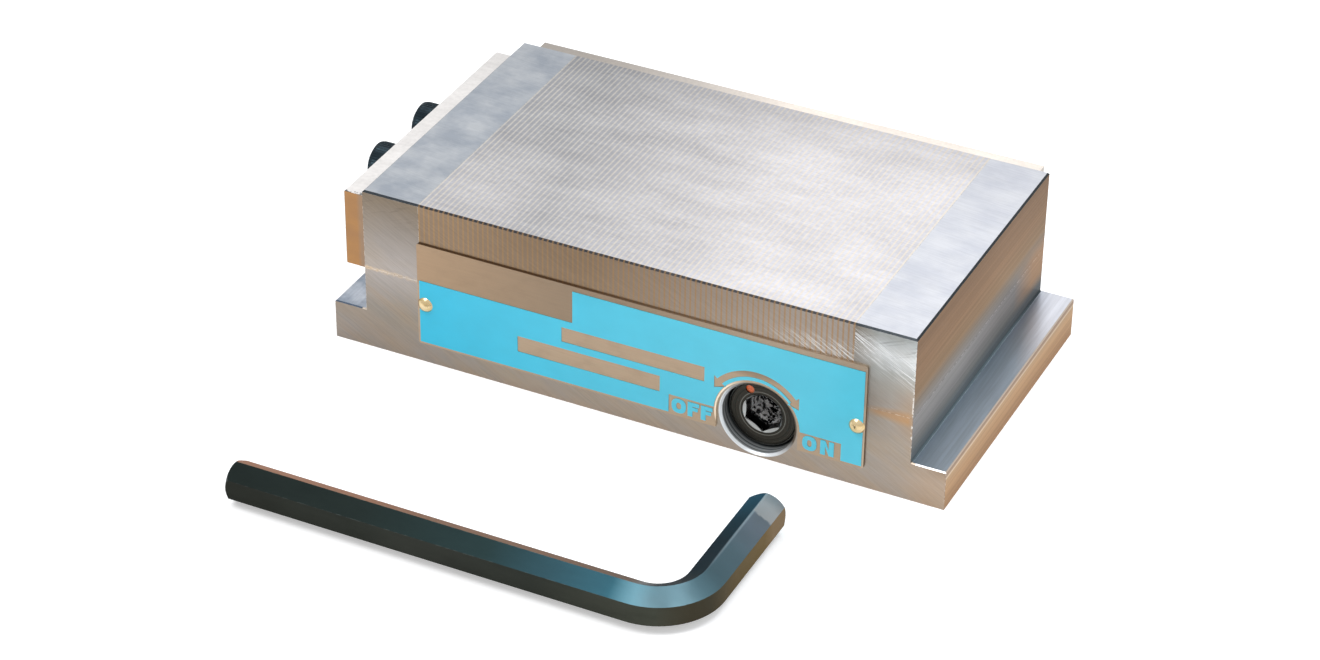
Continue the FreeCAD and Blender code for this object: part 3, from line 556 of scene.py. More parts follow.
# %% Ground steel
def make_ground_steel():
    material, tree, shader = new_material("ground_steel", Specular_IOR_Level=0.0)
    place, at = object_mm(tree)
    colour, hatch = front_tone(tree, at)
    colour = mix_colour(tree, facing(tree, "X"), colour, end_tone(tree, at))
    colour = mix_colour(tree, facing(tree, "Z"), colour, top_tone(tree, at))

    grain = noise(tree, place, 1.3, 3.0)
    # A rolled burr along the seam at the left, painted as a bright line where it catches the light.
    off_seam = calc(tree, "ABSOLUTE", less(tree, at["Z"], SEAM_Z))
    near_seam = span(tree, more(tree, off_seam, span(tree, grain, 0.3, 0.7, -0.3, 0.3)), 0.6, 0.1)
    front = facing(tree, "Y", -1.0)
    burr_highlight = both(tree, near_seam, front, span(tree, at["X"], -50.0, -64.0, 0.15, 0.5),
                span(tree, at["X"], -49.0, -51.0))
    colour = tint(tree, colour, burr_highlight, "#D9BC98")
    below = calc(tree, "ABSOLUTE", less(tree, at["Z"], SEAM_Z - 0.5))
    narrower = more(tree, below, span(tree, at["X"], 53.0, 62.0, 1.0, 0.0))
    smear = both(tree, span(tree, narrower, 2.1, 0.7), front, span(tree, at["X"], 53.0, 57.0),
                 span(tree, at["X"], 65.0, 64.0))
    colour = tint(tree, colour, smear, "#B98B5A", 0.6)

    # Worn edges, painted as ragged light and dark lines where they catch the light.
    edge = use_group(tree, EDGE_WEAR_AND_GLINT, Radius=0.00022, Gain=4.0)["Edge"]
    ragged = mix_colour(tree, span(tree, grain, 0.44, 0.56), srgb("#4A433C"), srgb("#E9E4DE"))
    colour = mix_colour(tree, times(tree, edge, 0.6), colour, ragged)
    colour = tint(tree, colour, top_line(tree, at), "#1B2228", 0.95)
    chips = both(tree, span(tree, at["X"], 64.6, 64.8), span(tree, at["Z"], 12.0, 14.0),
                 span(tree, grain, 0.5, 0.56), front)
    colour = tint(tree, colour, chips, "#F0ECE6", 0.7)
    hollow = mix_colour(tree, span(tree, at["Y"], 14.0, 34.0), srgb("#515F65"), srgb("#2F383C"))
    colour = mix_colour(tree, step_fillet(tree, at), colour, hollow)
    # The flanges' top bevels carry painted light: dark on the left flange, a bright highlight on the right.
    lip_painted_light = mix_colour(tree, span(tree, at["X"], -60.0, 60.0), srgb("#39424E"), srgb("#F4F5F6"))
    colour = mix_colour(tree, flange_edge(tree, at, "Y"), colour, lip_painted_light)
    colour = tint(tree, colour, flange_edge(tree, at, "X"), "#BFB0A2")

    bore = both(tree, span(tree, radius_from_drive(tree, at), BORE_R + 0.65, BORE_R + 0.5),
                span(tree, at["Y"], -28.0, -30.0))
    colour = mix_colour(tree, bore, colour, bore_tone(tree, at))
    plug(tree, shader["Base Color"], colour)
    # The ends' brown is a painted reflection and the bore carries painted light, so both are less of a mirror
    ends = both(tree, calc(tree, "MAXIMUM", facing(tree, "X"), facing(tree, "X", -1.0)),
                less(tree, 1.0, bore))
    painted_tone_share = calc(tree, "MAXIMUM", times(tree, ends, 0.7), times(tree, bore, 0.45))
    plug(tree, shader["Metallic"], less(tree, 1.0, painted_tone_share))
    plug(tree, shader["Roughness"], span(tree, hatch, 0.0, 1.0, 0.4, 0.3))
    plug(tree, shader["Normal"], bump(tree, hatch, 0.000008, 0.5))
    return material


ground_steel = make_ground_steel()

# %% [markdown]
# ## Laminations and brass
#
# Eighty-five steel plates stand on edge with thin brass between them. The plates come from the frame as
# separate solids, so the stripes are real edges. Seen from the front they are dull, and the ground work
# face is pale.


# %% Lamination steel and brass
def work_face_light(tree, at):
    """Painted reflection on the work face: greyer at its back left, brighter toward the right and the front
    left.
    """
    slant = more(tree, at["X"], times(tree, at["Y"], 0.1))
    front_left = both(tree, span(tree, at["X"], -20.0, -34.0), span(tree, at["Y"], 5.0, -25.0, 0.0, 0.42))
    return calc(tree, "MAXIMUM", span(tree, slant, -38.0, 20.0), front_left)


def make_striped(name, dark, front_codes, top_codes, hazy_codes):
    """A metal of the stack, from tones of the front's left and right and the top's back left and front right."""
    material, tree, shader = new_material(name, Metallic=1.0)
    place, at = object_mm(tree)
    haze = use_group(tree, CLOUDS, Size=7.0, Stretch=18.0, Low=0.3, High=0.7, Seed=2.0)["Patches"]
    light = work_face_light(tree, at)
    plain = mix_colour(tree, light, srgb(top_codes[0]), srgb(top_codes[1]))
    hazy = mix_colour(tree, light, srgb(hazy_codes[0]), srgb(hazy_codes[1]))
    top = mix_colour(tree, haze, plain, hazy)
    wheel = use_group(tree, SCRATCHES, Turn=(0.0, 0.0, 0.1), Spacing=0.4, Reach=12.0)["Lines"]
    top = shade(tree, top, wheel, 0.96, 1.06)
    specks = noise(tree, place, 0.9, 3.0)
    top = shade(tree, top, span(tree, specks, 0.35, 0.65), 0.94, 1.06)
    # Painted reflection: darker towards the back of the work face.
    top = shade(tree, top, span(tree, at["Y"], 20.0, 36.0), 1.0, 0.82)
    side = mix_colour(tree, span(tree, at["X"], -10.0, 58.0), srgb(front_codes[0]), srgb(front_codes[1]))
    fine = use_group(tree, SCRATCHES, Turn=(0.0, FALLING, 0.0), Spacing=0.22, Reach=6.0)["Lines"]
    side = shade(tree, side, fine, 0.95, 1.06)
    # Painted glints on the scratches near the top right of the front.
    scuff = use_group(tree, SCRATCHES, Turn=(0.0, FALLING, 0.0), Spacing=0.26, Reach=6.0,
                      Contrast=0.09)["Lines"]
    scuff_glint_zone = both(tree, span(tree, at["X"], 30.0, 50.0), span(tree, at["Z"], 35.5, 33.0),
                   span(tree, scuff, 0.55, 0.95))
    side = tint(tree, side, scuff_glint_zone, "#EDEAE5", 0.7)
    # Darker just above the plate's top edge, more so to the left.
    dark_line_above_plate = both(tree, span(tree, at["Z"], PLATE_TOP + 0.4, PLATE_TOP + 0.2),
               span(tree, at["X"], -51.0, 40.0, 0.35, 0.15))
    side = tint(tree, side, dark_line_above_plate, "#3E3226")
    colour = mix_colour(tree, facing(tree, "Z"), side, top)
    colour = tint(tree, colour, top_line(tree, at), dark, 0.95)
    plug(tree, shader["Base Color"], colour)
    plug(tree, shader["Roughness"], span(tree, wheel, 0.0, 1.0, 0.38, 0.28))
    plug(tree, shader["Normal"], bump(tree, wheel, 0.000006, 0.5))
    return material


lamination_steel = make_striped("lamination_steel", "#161C22", ("#806E5C", "#A69D95"), ("#94959A", "#CDCCD2"),
                                ("#A9AAAF", "#E5E4EA"))
separator_brass = make_striped("separator_brass", "#4A3B2C", ("#8D7356", "#A88C70"), ("#B8B4B0", "#E2DAD0"),
                               ("#C7C4BE", "#EDE5DB"))

# %% [markdown]
# ## The other metals
#
# Each of these is a short recipe: a base tone, a pattern that breaks it up, and a roughness that follows.

# %% Stop plates, oxide, bronze, magnets and the rest
def make_plain_metal(name, first, second, roughness, size=6.0, seed=0.0, metallic=1.0, wear=0.0,
                     wear_code="#B8B8B8"):
    """A metal with soft patches in its tone and its roughness, and worn corners where wear is above 0."""
    material, tree, shader = new_material(name, Metallic=metallic)
    patches = use_group(tree, CLOUDS, Size=size, Stretch=size * 1.8, Low=0.38, High=0.66,
                        Seed=seed)["Patches"]
    colour = mix_colour(tree, patches, srgb(first), srgb(second))
    if wear > 0:
        edge = use_group(tree, EDGE_WEAR_AND_GLINT, Radius=0.0002, Gain=3.0)["Edge"]
        colour = mix_colour(tree, times(tree, edge, wear), colour, srgb(wear_code))
    grain = add_node(tree, "ShaderNodeTexNoise", inputs={"Vector": object_mm(tree)[0], "Scale": 4.0,
                                                         "Detail": 4.0}).outputs[0]
    plug(tree, shader["Base Color"], colour)
    plug(tree, shader["Roughness"], span(tree, patches, 0.0, 1.0, roughness, roughness * 1.3))
    plug(tree, shader["Normal"], bump(tree, grain, 0.000012, 0.5))
    return material


def make_stop_steel():
    """The stop plates: upward faces nearly white, the sawn ends an orange-brown, the sides a plain grey."""
    material, tree, shader = new_material("stop_steel", Metallic=1.0)
    place, at = object_mm(tree)
    haze = use_group(tree, CLOUDS, Size=6.0, Stretch=14.0, Low=0.38, High=0.66, Seed=11.0)["Patches"]
    lines = use_group(tree, SCRATCHES, Turn=(0.0, 0.0, ALONG_Y), Spacing=0.5, Reach=40.0)["Lines"]
    side = mix_colour(tree, haze, srgb("#9F978D"), srgb("#8D857B"))
    side = tint(tree, side, lines, "#BDB6AD", 0.25)
    end = mix_colour(tree, haze, srgb("#A0774D"), srgb("#987350"))
    end = tint(tree, end, span(tree, at["X"], -66.9, -65.9, 0.0, 0.7), "#8A7868")
    colour = mix_colour(tree, facing(tree, "Y", -1.0), side, end)
    # The upward faces are painted near white as the sky they mirror, darker towards the back, and the rear
    # stop's top runs from grey at the left to white at the right.
    top = mix_colour(tree, haze, srgb("#F2EFED"), srgb("#DFDCDA"))
    top = shade(tree, top, span(tree, at["Y"], 15.0, 30.0), 1.0, 0.85)
    dirt = noise(tree, place, 1.1, 4.0)
    ragged = more(tree, at["Y"], span(tree, dirt, 0.35, 0.65, -0.45, 0.45))
    top = tint(tree, top, span(tree, ragged, -36.4, -36.75, 0.0, 0.9), "#2A2622")
    rear = ramp(tree, at["X"], [(-50, "#A9A29B"), (-22, "#C6BFB8"), (2, "#F6ECE2"), (62, "#F0E7DE")])
    top = mix_colour(tree, span(tree, at["Y"], 36.0, 37.0), top, rear)
    top = shade(tree, top, span(tree, dirt, 0.3, 0.7), 0.94, 1.04)
    colour = mix_colour(tree, facing(tree, "Z"), colour, top)
    plug(tree, shader["Base Color"], colour)
    plug(tree, shader["Roughness"], span(tree, haze, 0.0, 1.0, 0.34, 0.44))
    plug(tree, shader["Normal"], bump(tree, lines, 0.000008, 0.4))
    return material


stop_steel = make_stop_steel()
screw_oxide = make_plain_metal("screw_oxide", "#28343A", "#1D262C", 0.34, 3.0, 3.0, wear=0.25,
                               wear_code="#525C60")
rivet_brass = make_plain_metal("rivet_brass", "#D6C199", "#C4AA78", 0.2, 1.5, 17.0)
bright_steel = make_plain_metal("bright_steel", "#C9CBCD", "#AEB1B4", 0.24, 3.0, 1.0)
bronze = make_plain_metal("bronze", "#A9794A", "#8E6439", 0.36, 4.0, 2.0)
frame_alloy = make_plain_metal("frame_alloy", "#B8B9B6", "#A3A4A1", 0.45, 7.0, 4.0, wear=0.3)
magnet_ferrite = make_plain_metal("magnet_ferrite", "#4B4C4F", "#3A3B3E", 0.55, 5.0, 7.0, metallic=0.4)
pole_iron = make_plain_metal("pole_iron", "#8D8F92", "#7C7E81", 0.42, 5.0, 9.0, wear=0.3)
seal_rubber = make_plain_metal("seal_rubber", "#26272A", "#1D1E20", 0.6, 3.0, 13.0, metallic=0.0)
dot_paint = make_plain_metal("dot_paint", "#FF6828", "#FF9058", 0.25, 0.8, 14.0, metallic=0.0)


def make_blue_enamel():
    """Sky blue enamel, a little deeper at the left end of the plate."""
    material, tree, shader = new_material("blue_enamel", Roughness=0.34)
    place, at = object_mm(tree)
    tone = ramp(tree, at["X"], [(-50, "#27C7EB"), (-15, "#48CEEC"), (20, "#59D3ED"), (55, "#57D1EB")])
    mottle = use_group(tree, CLOUDS, Size=7.0, Stretch=10.0, Low=0.35, High=0.65, Seed=15.0)["Patches"]
    plug(tree, shader["Base Color"], shade(tree, tone, mottle, 0.97, 1.03))
    skin = noise(tree, place, 1.5, 2.0)
    plug(tree, shader["Normal"], bump(tree, skin, 0.00002, 0.4))
    return material


blue_enamel = make_blue_enamel()


def make_nameplate_metal():
    """Brushed plate metal under a tan lacquer, with a painted highlight at its right rim and on the arch, and
    dark or bright on its cut edges, the top one in painted shade at the left and a painted highlight at the
    right.
    """
    material, tree, shader = new_material("nameplate_metal", Metallic=1.0)
    at = object_mm(tree)[1]
    name_field = mix_colour(tree, span(tree, at["X"], -51.0, -16.0), srgb("#A2896F"), srgb("#917E6A"))
    rows = span(tree, at["Z"], 21.0, 19.8)
    colour = mix_colour(tree, rows, name_field, srgb("#AB957E"))
    brushed = use_group(tree, SCRATCHES, Spacing=0.3, Reach=7.0)["Lines"]
    colour = shade(tree, colour, brushed, 0.95, 1.05)
    spots = use_group(tree, CLOUDS, Size=2.5, Stretch=4.0, Low=0.5, High=0.75, Seed=12.0)["Patches"]
    colour = tint(tree, colour, spots, "#7E6B58", 0.2)
    # A painted highlight along the right rim and the top right.
    rim = calc(tree, "MAXIMUM", span(tree, at["X"], PLATE_RIGHT - 0.6, PLATE_RIGHT - 0.5),
               both(tree, span(tree, at["Z"], PLATE_TOP - 1.35, PLATE_TOP - 1.25),
                    span(tree, at["X"], 0.0, 35.0)))
    colour = tint(tree, colour, rim, "#C9B8A4", 0.35)
    # A painted highlight on the arch's cut edge left of the drive.
    lip_painted_light = both(tree, span(tree, radius_from_drive(tree, at), BORE_R + 1.45, BORE_R + 1.3),
               span(tree, at["X"], DRIVE.x - 3.0, DRIVE.x - 7.0))
    colour = tint(tree, colour, lip_painted_light, "#F6E4CC", 0.85)
    cut = less(tree, 1.0, facing(tree, "Y", -1.0))
    bright_cut = both(tree, cut, span(tree, at["Z"], PLATE_TOP - 0.6, PLATE_TOP - 1.0))
    colour = tint(tree, colour, bright_cut, "#F3E2C8", 0.85)
    colour = tint(tree, colour, both(tree, cut, span(tree, at["X"], PLATE_RIGHT - 0.4, PLATE_RIGHT - 0.2)),
                  "#7D6A54")
    # The top cut edge: painted shade at the left and a painted highlight at the right.
    top_cut = both(tree, cut, span(tree, at["Z"], PLATE_TOP - 0.4, PLATE_TOP - 0.2))
    edge_tone = mix_colour(tree, span(tree, at["X"], -20.0, 40.0), srgb("#7A654F"), srgb("#B9A996"))
    colour = mix_colour(tree, top_cut, colour, edge_tone)
    plug(tree, shader["Base Color"], colour)
    plug(tree, shader["Roughness"], span(tree, brushed, 0.0, 1.0, 0.42, 0.52))
    plug(tree, shader["Normal"], bump(tree, brushed, 0.000008, 0.4))
    return material


def make_shaft_oxide():
    """Black oxide on the drive, bright on the turned chamfers, with painted light on the head's rounded rim,
    painted shade in the socket's mouth and painted glints deeper down in it.
    """
    material, tree, shader = new_material("shaft_oxide", Metallic=1.0)
    place, at = object_mm(tree)
    radius = radius_from_drive(tree, at)
    rings = add_node(tree, "ShaderNodeTexNoise", {"noise_dimensions": "1D"},
                     {"W": radius, "Scale": 3.5, "Detail": 3.0})
    colour = mix_colour(tree, span(tree, rings.outputs[0], 0.35, 0.65), srgb("#24231F"), srgb("#3A3732"))
    turned = less(tree, 1.0, facing(tree, "Y", -1.0))
    on_lead = both(tree, turned, span(tree, at["Y"], HEAD_FACE_Y + 0.6, HEAD_FACE_Y + 0.5),
                   span(tree, radius, SOCKET_R + 0.2, SOCKET_R))
    colour = tint(tree, colour, on_lead, "#B4B6B5", 0.8)
    # Painted light on the head's rounded rim, which mirrors the dark bore.
    rim = both(tree, turned, span(tree, radius, 7.1, 7.5),
               span(tree, at["Y"], HEAD_FACE_Y + 1.6, HEAD_FACE_Y + 1.2))
    colour = tint(tree, colour, rim, "#8B8C86", 0.85)
    circle = span(tree, calc(tree, "ABSOLUTE", less(tree, radius, SOCKET_R + 0.1)), 0.14, 0.05)
    colour = tint(tree, colour, circle, "#A8A69E", 0.25)
    # Painted shade in the socket's mouth.
    inside = both(tree, span(tree, radius, 4.75, 4.65),
                  span(tree, at["Y"], HEAD_FACE_Y + 0.5, HEAD_FACE_Y + 0.9))
    glint_noise = add_node(tree, "ShaderNodeTexNoise",
                   inputs={"Vector": place, "Scale": 0.9, "Detail": 5.0, "Roughness": 0.7})
    colour = tint(tree, colour, inside, "#0E0F10")
    # Painted glints deeper down in the socket.
    glints = both(tree, inside, span(tree, at["Y"], HEAD_FACE_Y + 2.6, HEAD_FACE_Y + 3.6),
                  span(tree, glint_noise.outputs[0], 0.47, 0.52))
    colour = tint(tree, colour, glints, "#FFFFFF")
    plug(tree, shader["Base Color"], colour)
    plug(tree, shader["Metallic"], span(tree, glints, 0.0, 1.0, 1.0, 0.0))
    plug(tree, shader["Roughness"], span(tree, rings.outputs[0], 0.3, 0.7, 0.18, 0.3))
    plug(tree, shader["Normal"], bump(tree, glint_noise.outputs[0], 0.00004, 0.4))
    return material


def make_key_steel():
    """Black oxide, whose faces carry painted reflections: dark at the left and teal toward the bend on top, with
    a painted highlight on the bend, worn at its ridge and tip, and browner where it looks back or to the side.
    """
    material, tree, shader = new_material("key_steel", Specular_IOR_Level=0.0)
    place, at = object_mm(tree)
    look = looks(tree)
    patches = use_group(tree, CLOUDS, Size=4.0, Stretch=12.0, Low=0.36, High=0.66, Seed=16.0)["Patches"]
    low_x, high_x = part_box("hex_key")[0].x / MM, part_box("hex_key")[1].x / MM
    tip_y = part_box("hex_key")[1].y / MM
    up = span(tree, look["Z"], 0.3, 0.7)

    # Painted sheen and reflection on the upper faces: dark at the left, teal toward the bend, grey-blue on the
    # short arm.
    upper = ramp(tree, at["X"], [(low_x, "#151A19"), (-30.0, "#161C1B"), (0.0, "#192526"), (15.0, "#20353C"),
                                 (27.0, "#23404A"), (33.0, "#28525E")])
    upper = shade(tree, upper, patches, 0.85, 1.15)
    right_side = ramp(tree, at["Y"],
                      [(-92.0, "#3E545C"), (-80.0, "#4E626B"), (-71.0, "#606B75"), (tip_y, "#788087")])
    upper = mix_colour(tree, span(tree, look["X"], 0.1, 0.4), upper, right_side)
    left_side = ramp(tree, at["Y"],
                     [(-95.0, "#1D262B"), (-78.0, "#1B272E"), (-70.0, "#1F323B"), (tip_y, "#284959")])
    leftward = both(tree, up, span(tree, look["X"], -0.05, -0.3))
    upper = mix_colour(tree, leftward, upper, left_side)
    # A painted highlight on the bend.
    glow = both(tree, span(tree, at["X"], high_x - 19.0, high_x - 9.0), span(tree, look["X"], 0.46, 0.14),
                span(tree, look["Y"], -0.1, -0.34))
    upper = tint(tree, upper, glow, "#8FAAB4", 0.36)

    front = ramp(tree, at["X"],
                 [(low_x, "#22241F"), (-30.0, "#292C27"), (-15.0, "#2E302B"), (10.0, "#2A2D28"),
                                 (33.0, "#3A3C34"), (high_x, "#3E4038")])
    front = shade(tree, front, patches, 0.77, 0.97)
    colour = mix_colour(tree, up, front, upper)
    inner_bend = both(tree, up, span(tree, look["Y"], 0.0, 0.2), span(tree, at["X"], 29.0, 36.0))
    colour = tint(tree, colour, inner_bend, "#171E21")
    # Painted reflections: browner where a face looks back or to the side.
    backward = both(tree, up, span(tree, look["Y"], 0.1, 0.4), span(tree, at["X"], 36.0, 30.0))
    sideways = both(tree, less(tree, 1.0, up), span(tree, look["X"], 0.4, 0.8),
                    span(tree, at["X"], 0.0, 20.0))
    side_tone = ramp(tree, at["Y"],
                     [(-94.0, "#403C30"), (-84.0, "#5A4C30"), (-70.0, "#6C5A38"), (-66.0, "#7F6A4E")])
    rear_tone = ramp(tree, at["X"],
                     [(-60.0, "#87604A"), (-30.0, "#87604A"), (-15.0, "#775743"), (15.0, "#6E5443"),
                                     (28.0, "#5D4B3E")])
    colour = mix_colour(tree, backward, colour, rear_tone)
    colour = mix_colour(tree, sideways, colour, side_tone)

    off_ridge = calc(tree, "ABSOLUTE", less(tree, at["X"], high_x - 4.0))
    ridge = both(tree, span(tree, off_ridge, 0.4, 0.12), up, span(tree, at["Y"], -90.0, -86.0),
                 span(tree, at["Y"], -86.0, tip_y, 0.15, 0.9))
    colour = tint(tree, colour, ridge, "#93A4AC")
    edge = use_group(tree, EDGE_WEAR_AND_GLINT, Radius=0.0003, Gain=3.0)["Edge"]
    specks = noise(tree, place, 0.8, 4.0)
    worn = both(tree, edge, span(tree, specks, 0.45, 0.62))
    colour = tint(tree, colour, worn, "#6E7674", 0.35)
    ragged = more(tree, at["Y"], span(tree, specks, 0.3, 0.7, -0.3, 0.3))
    tip = both(tree, span(tree, ragged, tip_y - 7.6, tip_y - 7.1),
               span(tree, ragged, tip_y - 0.6, tip_y - 3.6, 0.55, 1.0),
               up, span(tree, look["X"], 0.1, 0.4))
    colour = tint(tree, colour, tip, "#AAABAC", 0.8)
    plug(tree, shader["Base Color"], colour)
    # Faces with painted tones are less of a mirror, so that their tone shows.
    away = calc(tree, "MAXIMUM", inner_bend, leftward)
    painted_tone_share = times(tree, calc(tree, "MAXIMUM", calc(tree, "MAXIMUM", backward, sideways), away), 0.8)
    plug(tree, shader["Metallic"], less(tree, 1.0, painted_tone_share))
    plug(tree, shader["Roughness"], span(tree, patches, 0.0, 1.0, 0.34, 0.42))
    grain = noise(tree, place, 3.0, 4.0)
    plug(tree, shader["Normal"], bump(tree, grain, 0.00002, 0.5))
    return material


nameplate_metal = make_nameplate_metal()
shaft_oxide = make_shaft_oxide()
key_steel = make_key_steel()

# %% Give every node its finish
FINISHES = {
    ground_steel: ["base", "left_end_block", "right_end_block"],
    lamination_steel: ["steel_laminations"],
    separator_brass: ["brass_separators"],
    rivet_brass: ["nameplate_rivets"],
    nameplate_metal: ["nameplate"],
    stop_steel: ["side_stop", "rear_stop"],
    screw_oxide: ["pole_plate_screws", "side_stop_screws", "rear_stop_screws"],
    shaft_oxide: ["drive_shaft"],
    bright_steel: ["dowels", "travel_stop_pins", "snap_ring", "stop_dog", "carriage_screws"],
    bronze: ["shaft_bush", "guide_strips", "thrust_washer"],
    seal_rubber: ["pocket_seal", "shaft_o_ring"],
    dot_paint: ["indicator_dot"],
    frame_alloy: ["carriage_frame", "carriage_plate"],
    magnet_ferrite: ["magnets"],
    pole_iron: ["magnet_pole_bars"],
    key_steel: ["hex_key"],
}
for material, names in FINISHES.items():
    for name in names:
        slots = nodes[name].material_slots
        if not slots:
            nodes[name].data.materials.append(material)
        for slot in slots:
            slot.material = material
print("nodes with a finish", sum(len(names) for names in FINISHES.values()), "of", len(nodes))

# %% [markdown]
# ## Enamel of the nameplate
#
# The plate is etched metal with blue enamel in the sunk parts. The enamel could be a painted mask in the
# plate's material, but a thin sheet of its own with real openings has crisp borders at any distance. A flat
# curve does this well: closed lines inside a closed outline are left open when it is filled.

# %% Outline tools
plate_low, plate_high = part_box("nameplate")
PLATE_FACE = plate_low.y / MM
ENAMEL_T = 0.05
ARCH_R = 9.5


def arc(centre, radius, start, end, steps):
    """Points along an arc in the front's plane, with angles in degrees from +X."""
    points = []
    for k in range(steps + 1):
        a = math.radians(start + (end - start) * k / steps)
        points.append((centre[0] + radius * math.cos(a), centre[1] + radius * math.sin(a)))
    return points


def rectangle(x0, x1, z0, z1):
    return [(x0, z0), (x1, z0), (x1, z1), (x0, z1)]


def plain_mesh(source, name, material):
    """Turns a curve or text object into a mesh object at the origin, with its place in its mesh."""
    bpy.context.view_layer.update()
    evaluated = source.evaluated_get(bpy.context.evaluated_depsgraph_get())
    mesh = bpy.data.meshes.new_from_object(evaluated)
    mesh.transform(source.matrix_world)
    mesh.name = name
    mesh.materials.clear()
    mesh.materials.append(material)
    bpy.data.objects.remove(source)
    return new_object(name, mesh)


def stand_on_plate(z_up=0.0):
    """Turns a drawing's X and Y into the plate's X and Z, just proud of its face."""
    place = Matrix.Translation((0.0, (PLATE_FACE - ENAMEL_T) * MM, z_up * MM))
    return place @ Matrix.Rotation(math.pi / 2, 4, "X") @ Matrix.Scale(MM, 4)


def flat_piece(name, outlines, material):
    """A thin sheet on the plate, from outlines in millimetres of the plate's X and Z."""
    curve = bpy.data.curves.new(name, "CURVE")
    curve.dimensions = "2D"
    curve.fill_mode = "BOTH"
    curve.extrude = ENAMEL_T
    for outline in outlines:
        spline = curve.splines.new("POLY")
        spline.points.add(len(outline) - 1)
        for point, (x, z) in zip(spline.points, outline):
            point.co = (x, z, 0.0, 1.0)
        spline.use_cyclic_u = True
    drawing = new_object(name + "_drawing", curve)
    drawing.matrix_world = stand_on_plate()
    return plain_mesh(drawing, name, material)


# %% Enamel with its bare fields, arrow and arch
PLATE_X0, PLATE_X1 = plate_low.x / MM, plate_high.x / MM
PLATE_Z0, PLATE_Z1 = plate_low.z / MM, plate_high.z / MM
EDGE = 0.5
TOP_EDGE = 1.3
NAME_FIELD = (-13.65, 21.2)
OFF_FIELD = (9.4, 10.05)
ON_FIELD = (49.5, 9.75)
ARROW_R = 11.2
ARROW_W = 1.5
ARROW_BARB = 1.0
ARROW_START, ARROW_END = 139.5, 40.5
ARROW_HEAD = 12.0
ARCH_STEPS = 48
ARROW_STEPS = 32
ROW_FIELDS = [(-16.3, 17.7, 15.75, 19.45), (-27.0, 7.25, 10.0, 14.0)]


def enamel_outline():
    """The blue field: open at the top left for the bare name field, and round the drive."""
    rim = ARCH_R + EDGE
    x0, x1 = PLATE_X0 + EDGE, PLATE_X1 - EDGE
    z0, z1 = PLATE_Z0 + EDGE, PLATE_Z1 - TOP_EDGE
    name_x, name_z = NAME_FIELD
    off_x, off_z = OFF_FIELD
    on_x, on_z = ON_FIELD
    left_foot = math.degrees(math.pi - math.asin((off_z - DRIVE.z) / rim))
    right_foot = math.degrees(math.asin((on_z - DRIVE.z) / rim))
    arch = arc((DRIVE.x, DRIVE.z), rim, left_foot, right_foot, ARCH_STEPS)
    return [(x0, z0), (off_x, z0), (off_x, off_z)] + arch + [
        (on_x, on_z), (on_x, z0), (x1, z0), (x1, z1), (name_x, z1), (name_x, name_z), (x0, name_z)]


def arrow_outline():
    """The double-headed arc arrow over the drive."""
    centre = (DRIVE.x - 0.2, DRIVE.z + 0.33)
    start, end = ARROW_START, ARROW_END
    inner, outer = ARROW_R - ARROW_W / 2, ARROW_R + ARROW_W / 2

    def at(radius, degrees):
        a = math.radians(degrees)
        return (centre[0] + radius * math.cos(a), centre[1] + radius * math.sin(a))

    points = arc(centre, outer, start, end, ARROW_STEPS)
    points += [at(outer + ARROW_BARB, end), at(ARROW_R, end - ARROW_HEAD), at(inner - ARROW_BARB, end)]
    points += arc(centre, inner, end, start, ARROW_STEPS)
    points += [at(inner - ARROW_BARB, start), at(ARROW_R, start + ARROW_HEAD), at(outer + ARROW_BARB, start)]
    return points


row_fields = [rectangle(*field) for field in ROW_FIELDS]
enamel = flat_piece("nameplate_enamel", [enamel_outline(), arrow_outline()] + row_fields, blue_enamel)
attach(enamel, "chuck")
print("enamel faces", len(enamel.data.polygons))


# %% OFF and ON in enamel
STROKE = 1.12
LETTER_H = 3.6


def oval(x, z, half_x, half_z, steps=28):
    """A flattened round outline, squarer than a circle as on heavy lettering."""
    points = []
    for k in range(steps):
        a = 2 * math.pi * k / steps
        c, d = math.cos(a), math.sin(a)
        points.append((x + half_x * math.copysign(abs(c) ** 0.8, c),
                       z + half_z * math.copysign(abs(d) ** 0.8, d)))
    return points


def letter(kind, x, z, w, h):
    """The outlines of a heavy letter in a box w wide and h high, with its lower left corner at x, z."""
    t = STROKE
    if kind == "O":
        return [oval(x + w / 2, z + h / 2, w / 2, h / 2),
                oval(x + w / 2, z + h / 2, w / 2 - t, h / 2 - t * 0.85)]
    if kind == "F":
        middle = z + h * 0.42
        return [[(x, z), (x + t, z), (x + t, middle), (x + w * 0.88, middle),
                 (x + w * 0.88, middle + t * 0.8),
                 (x + t, middle + t * 0.8), (x + t, z + h - t * 0.85), (x + w, z + h - t * 0.85),
                 (x + w, z + h),
                 (x, z + h)]]
    return [[(x, z), (x + t, z), (x + t, z + h * 0.62), (x + w - t, z), (x + w, z), (x + w, z + h),
             (x + w - t, z + h), (x + w - t, z + h * 0.38), (x + t, z + h), (x, z + h)]]


def word(name, text, x, z, widths, h, gap):
    """Enamel letters in a row on the bare metal."""
    outlines = []
    for kind, w in zip(text, widths):
        outlines += letter(kind, x, z, w, h)
        x += w + gap
    piece = flat_piece(name, outlines, blue_enamel)
    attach(piece, "chuck")
    print(name, "faces", len(piece.data.polygons))


word("off_letters", "OFF", 10.1, 5.85, (3.4, 2.7, 2.7), LETTER_H, 0.42)
word("on_letters", "ON", 40.65, 5.75, (3.3, 3.1), LETTER_H, 0.85)

# %% [markdown]
# ## Knurled cap screws
#
# The stop plates are held by socket head cap screws with a knurled rim. Every head is the same, so one
# Geometry Nodes tree makes it: a disc whose side ring moves in and out with the angle, a hexagon cut into
# its top, a shank, and one copy at each screw's place. The counts and sizes are inputs, so both pairs use
# the same tree.


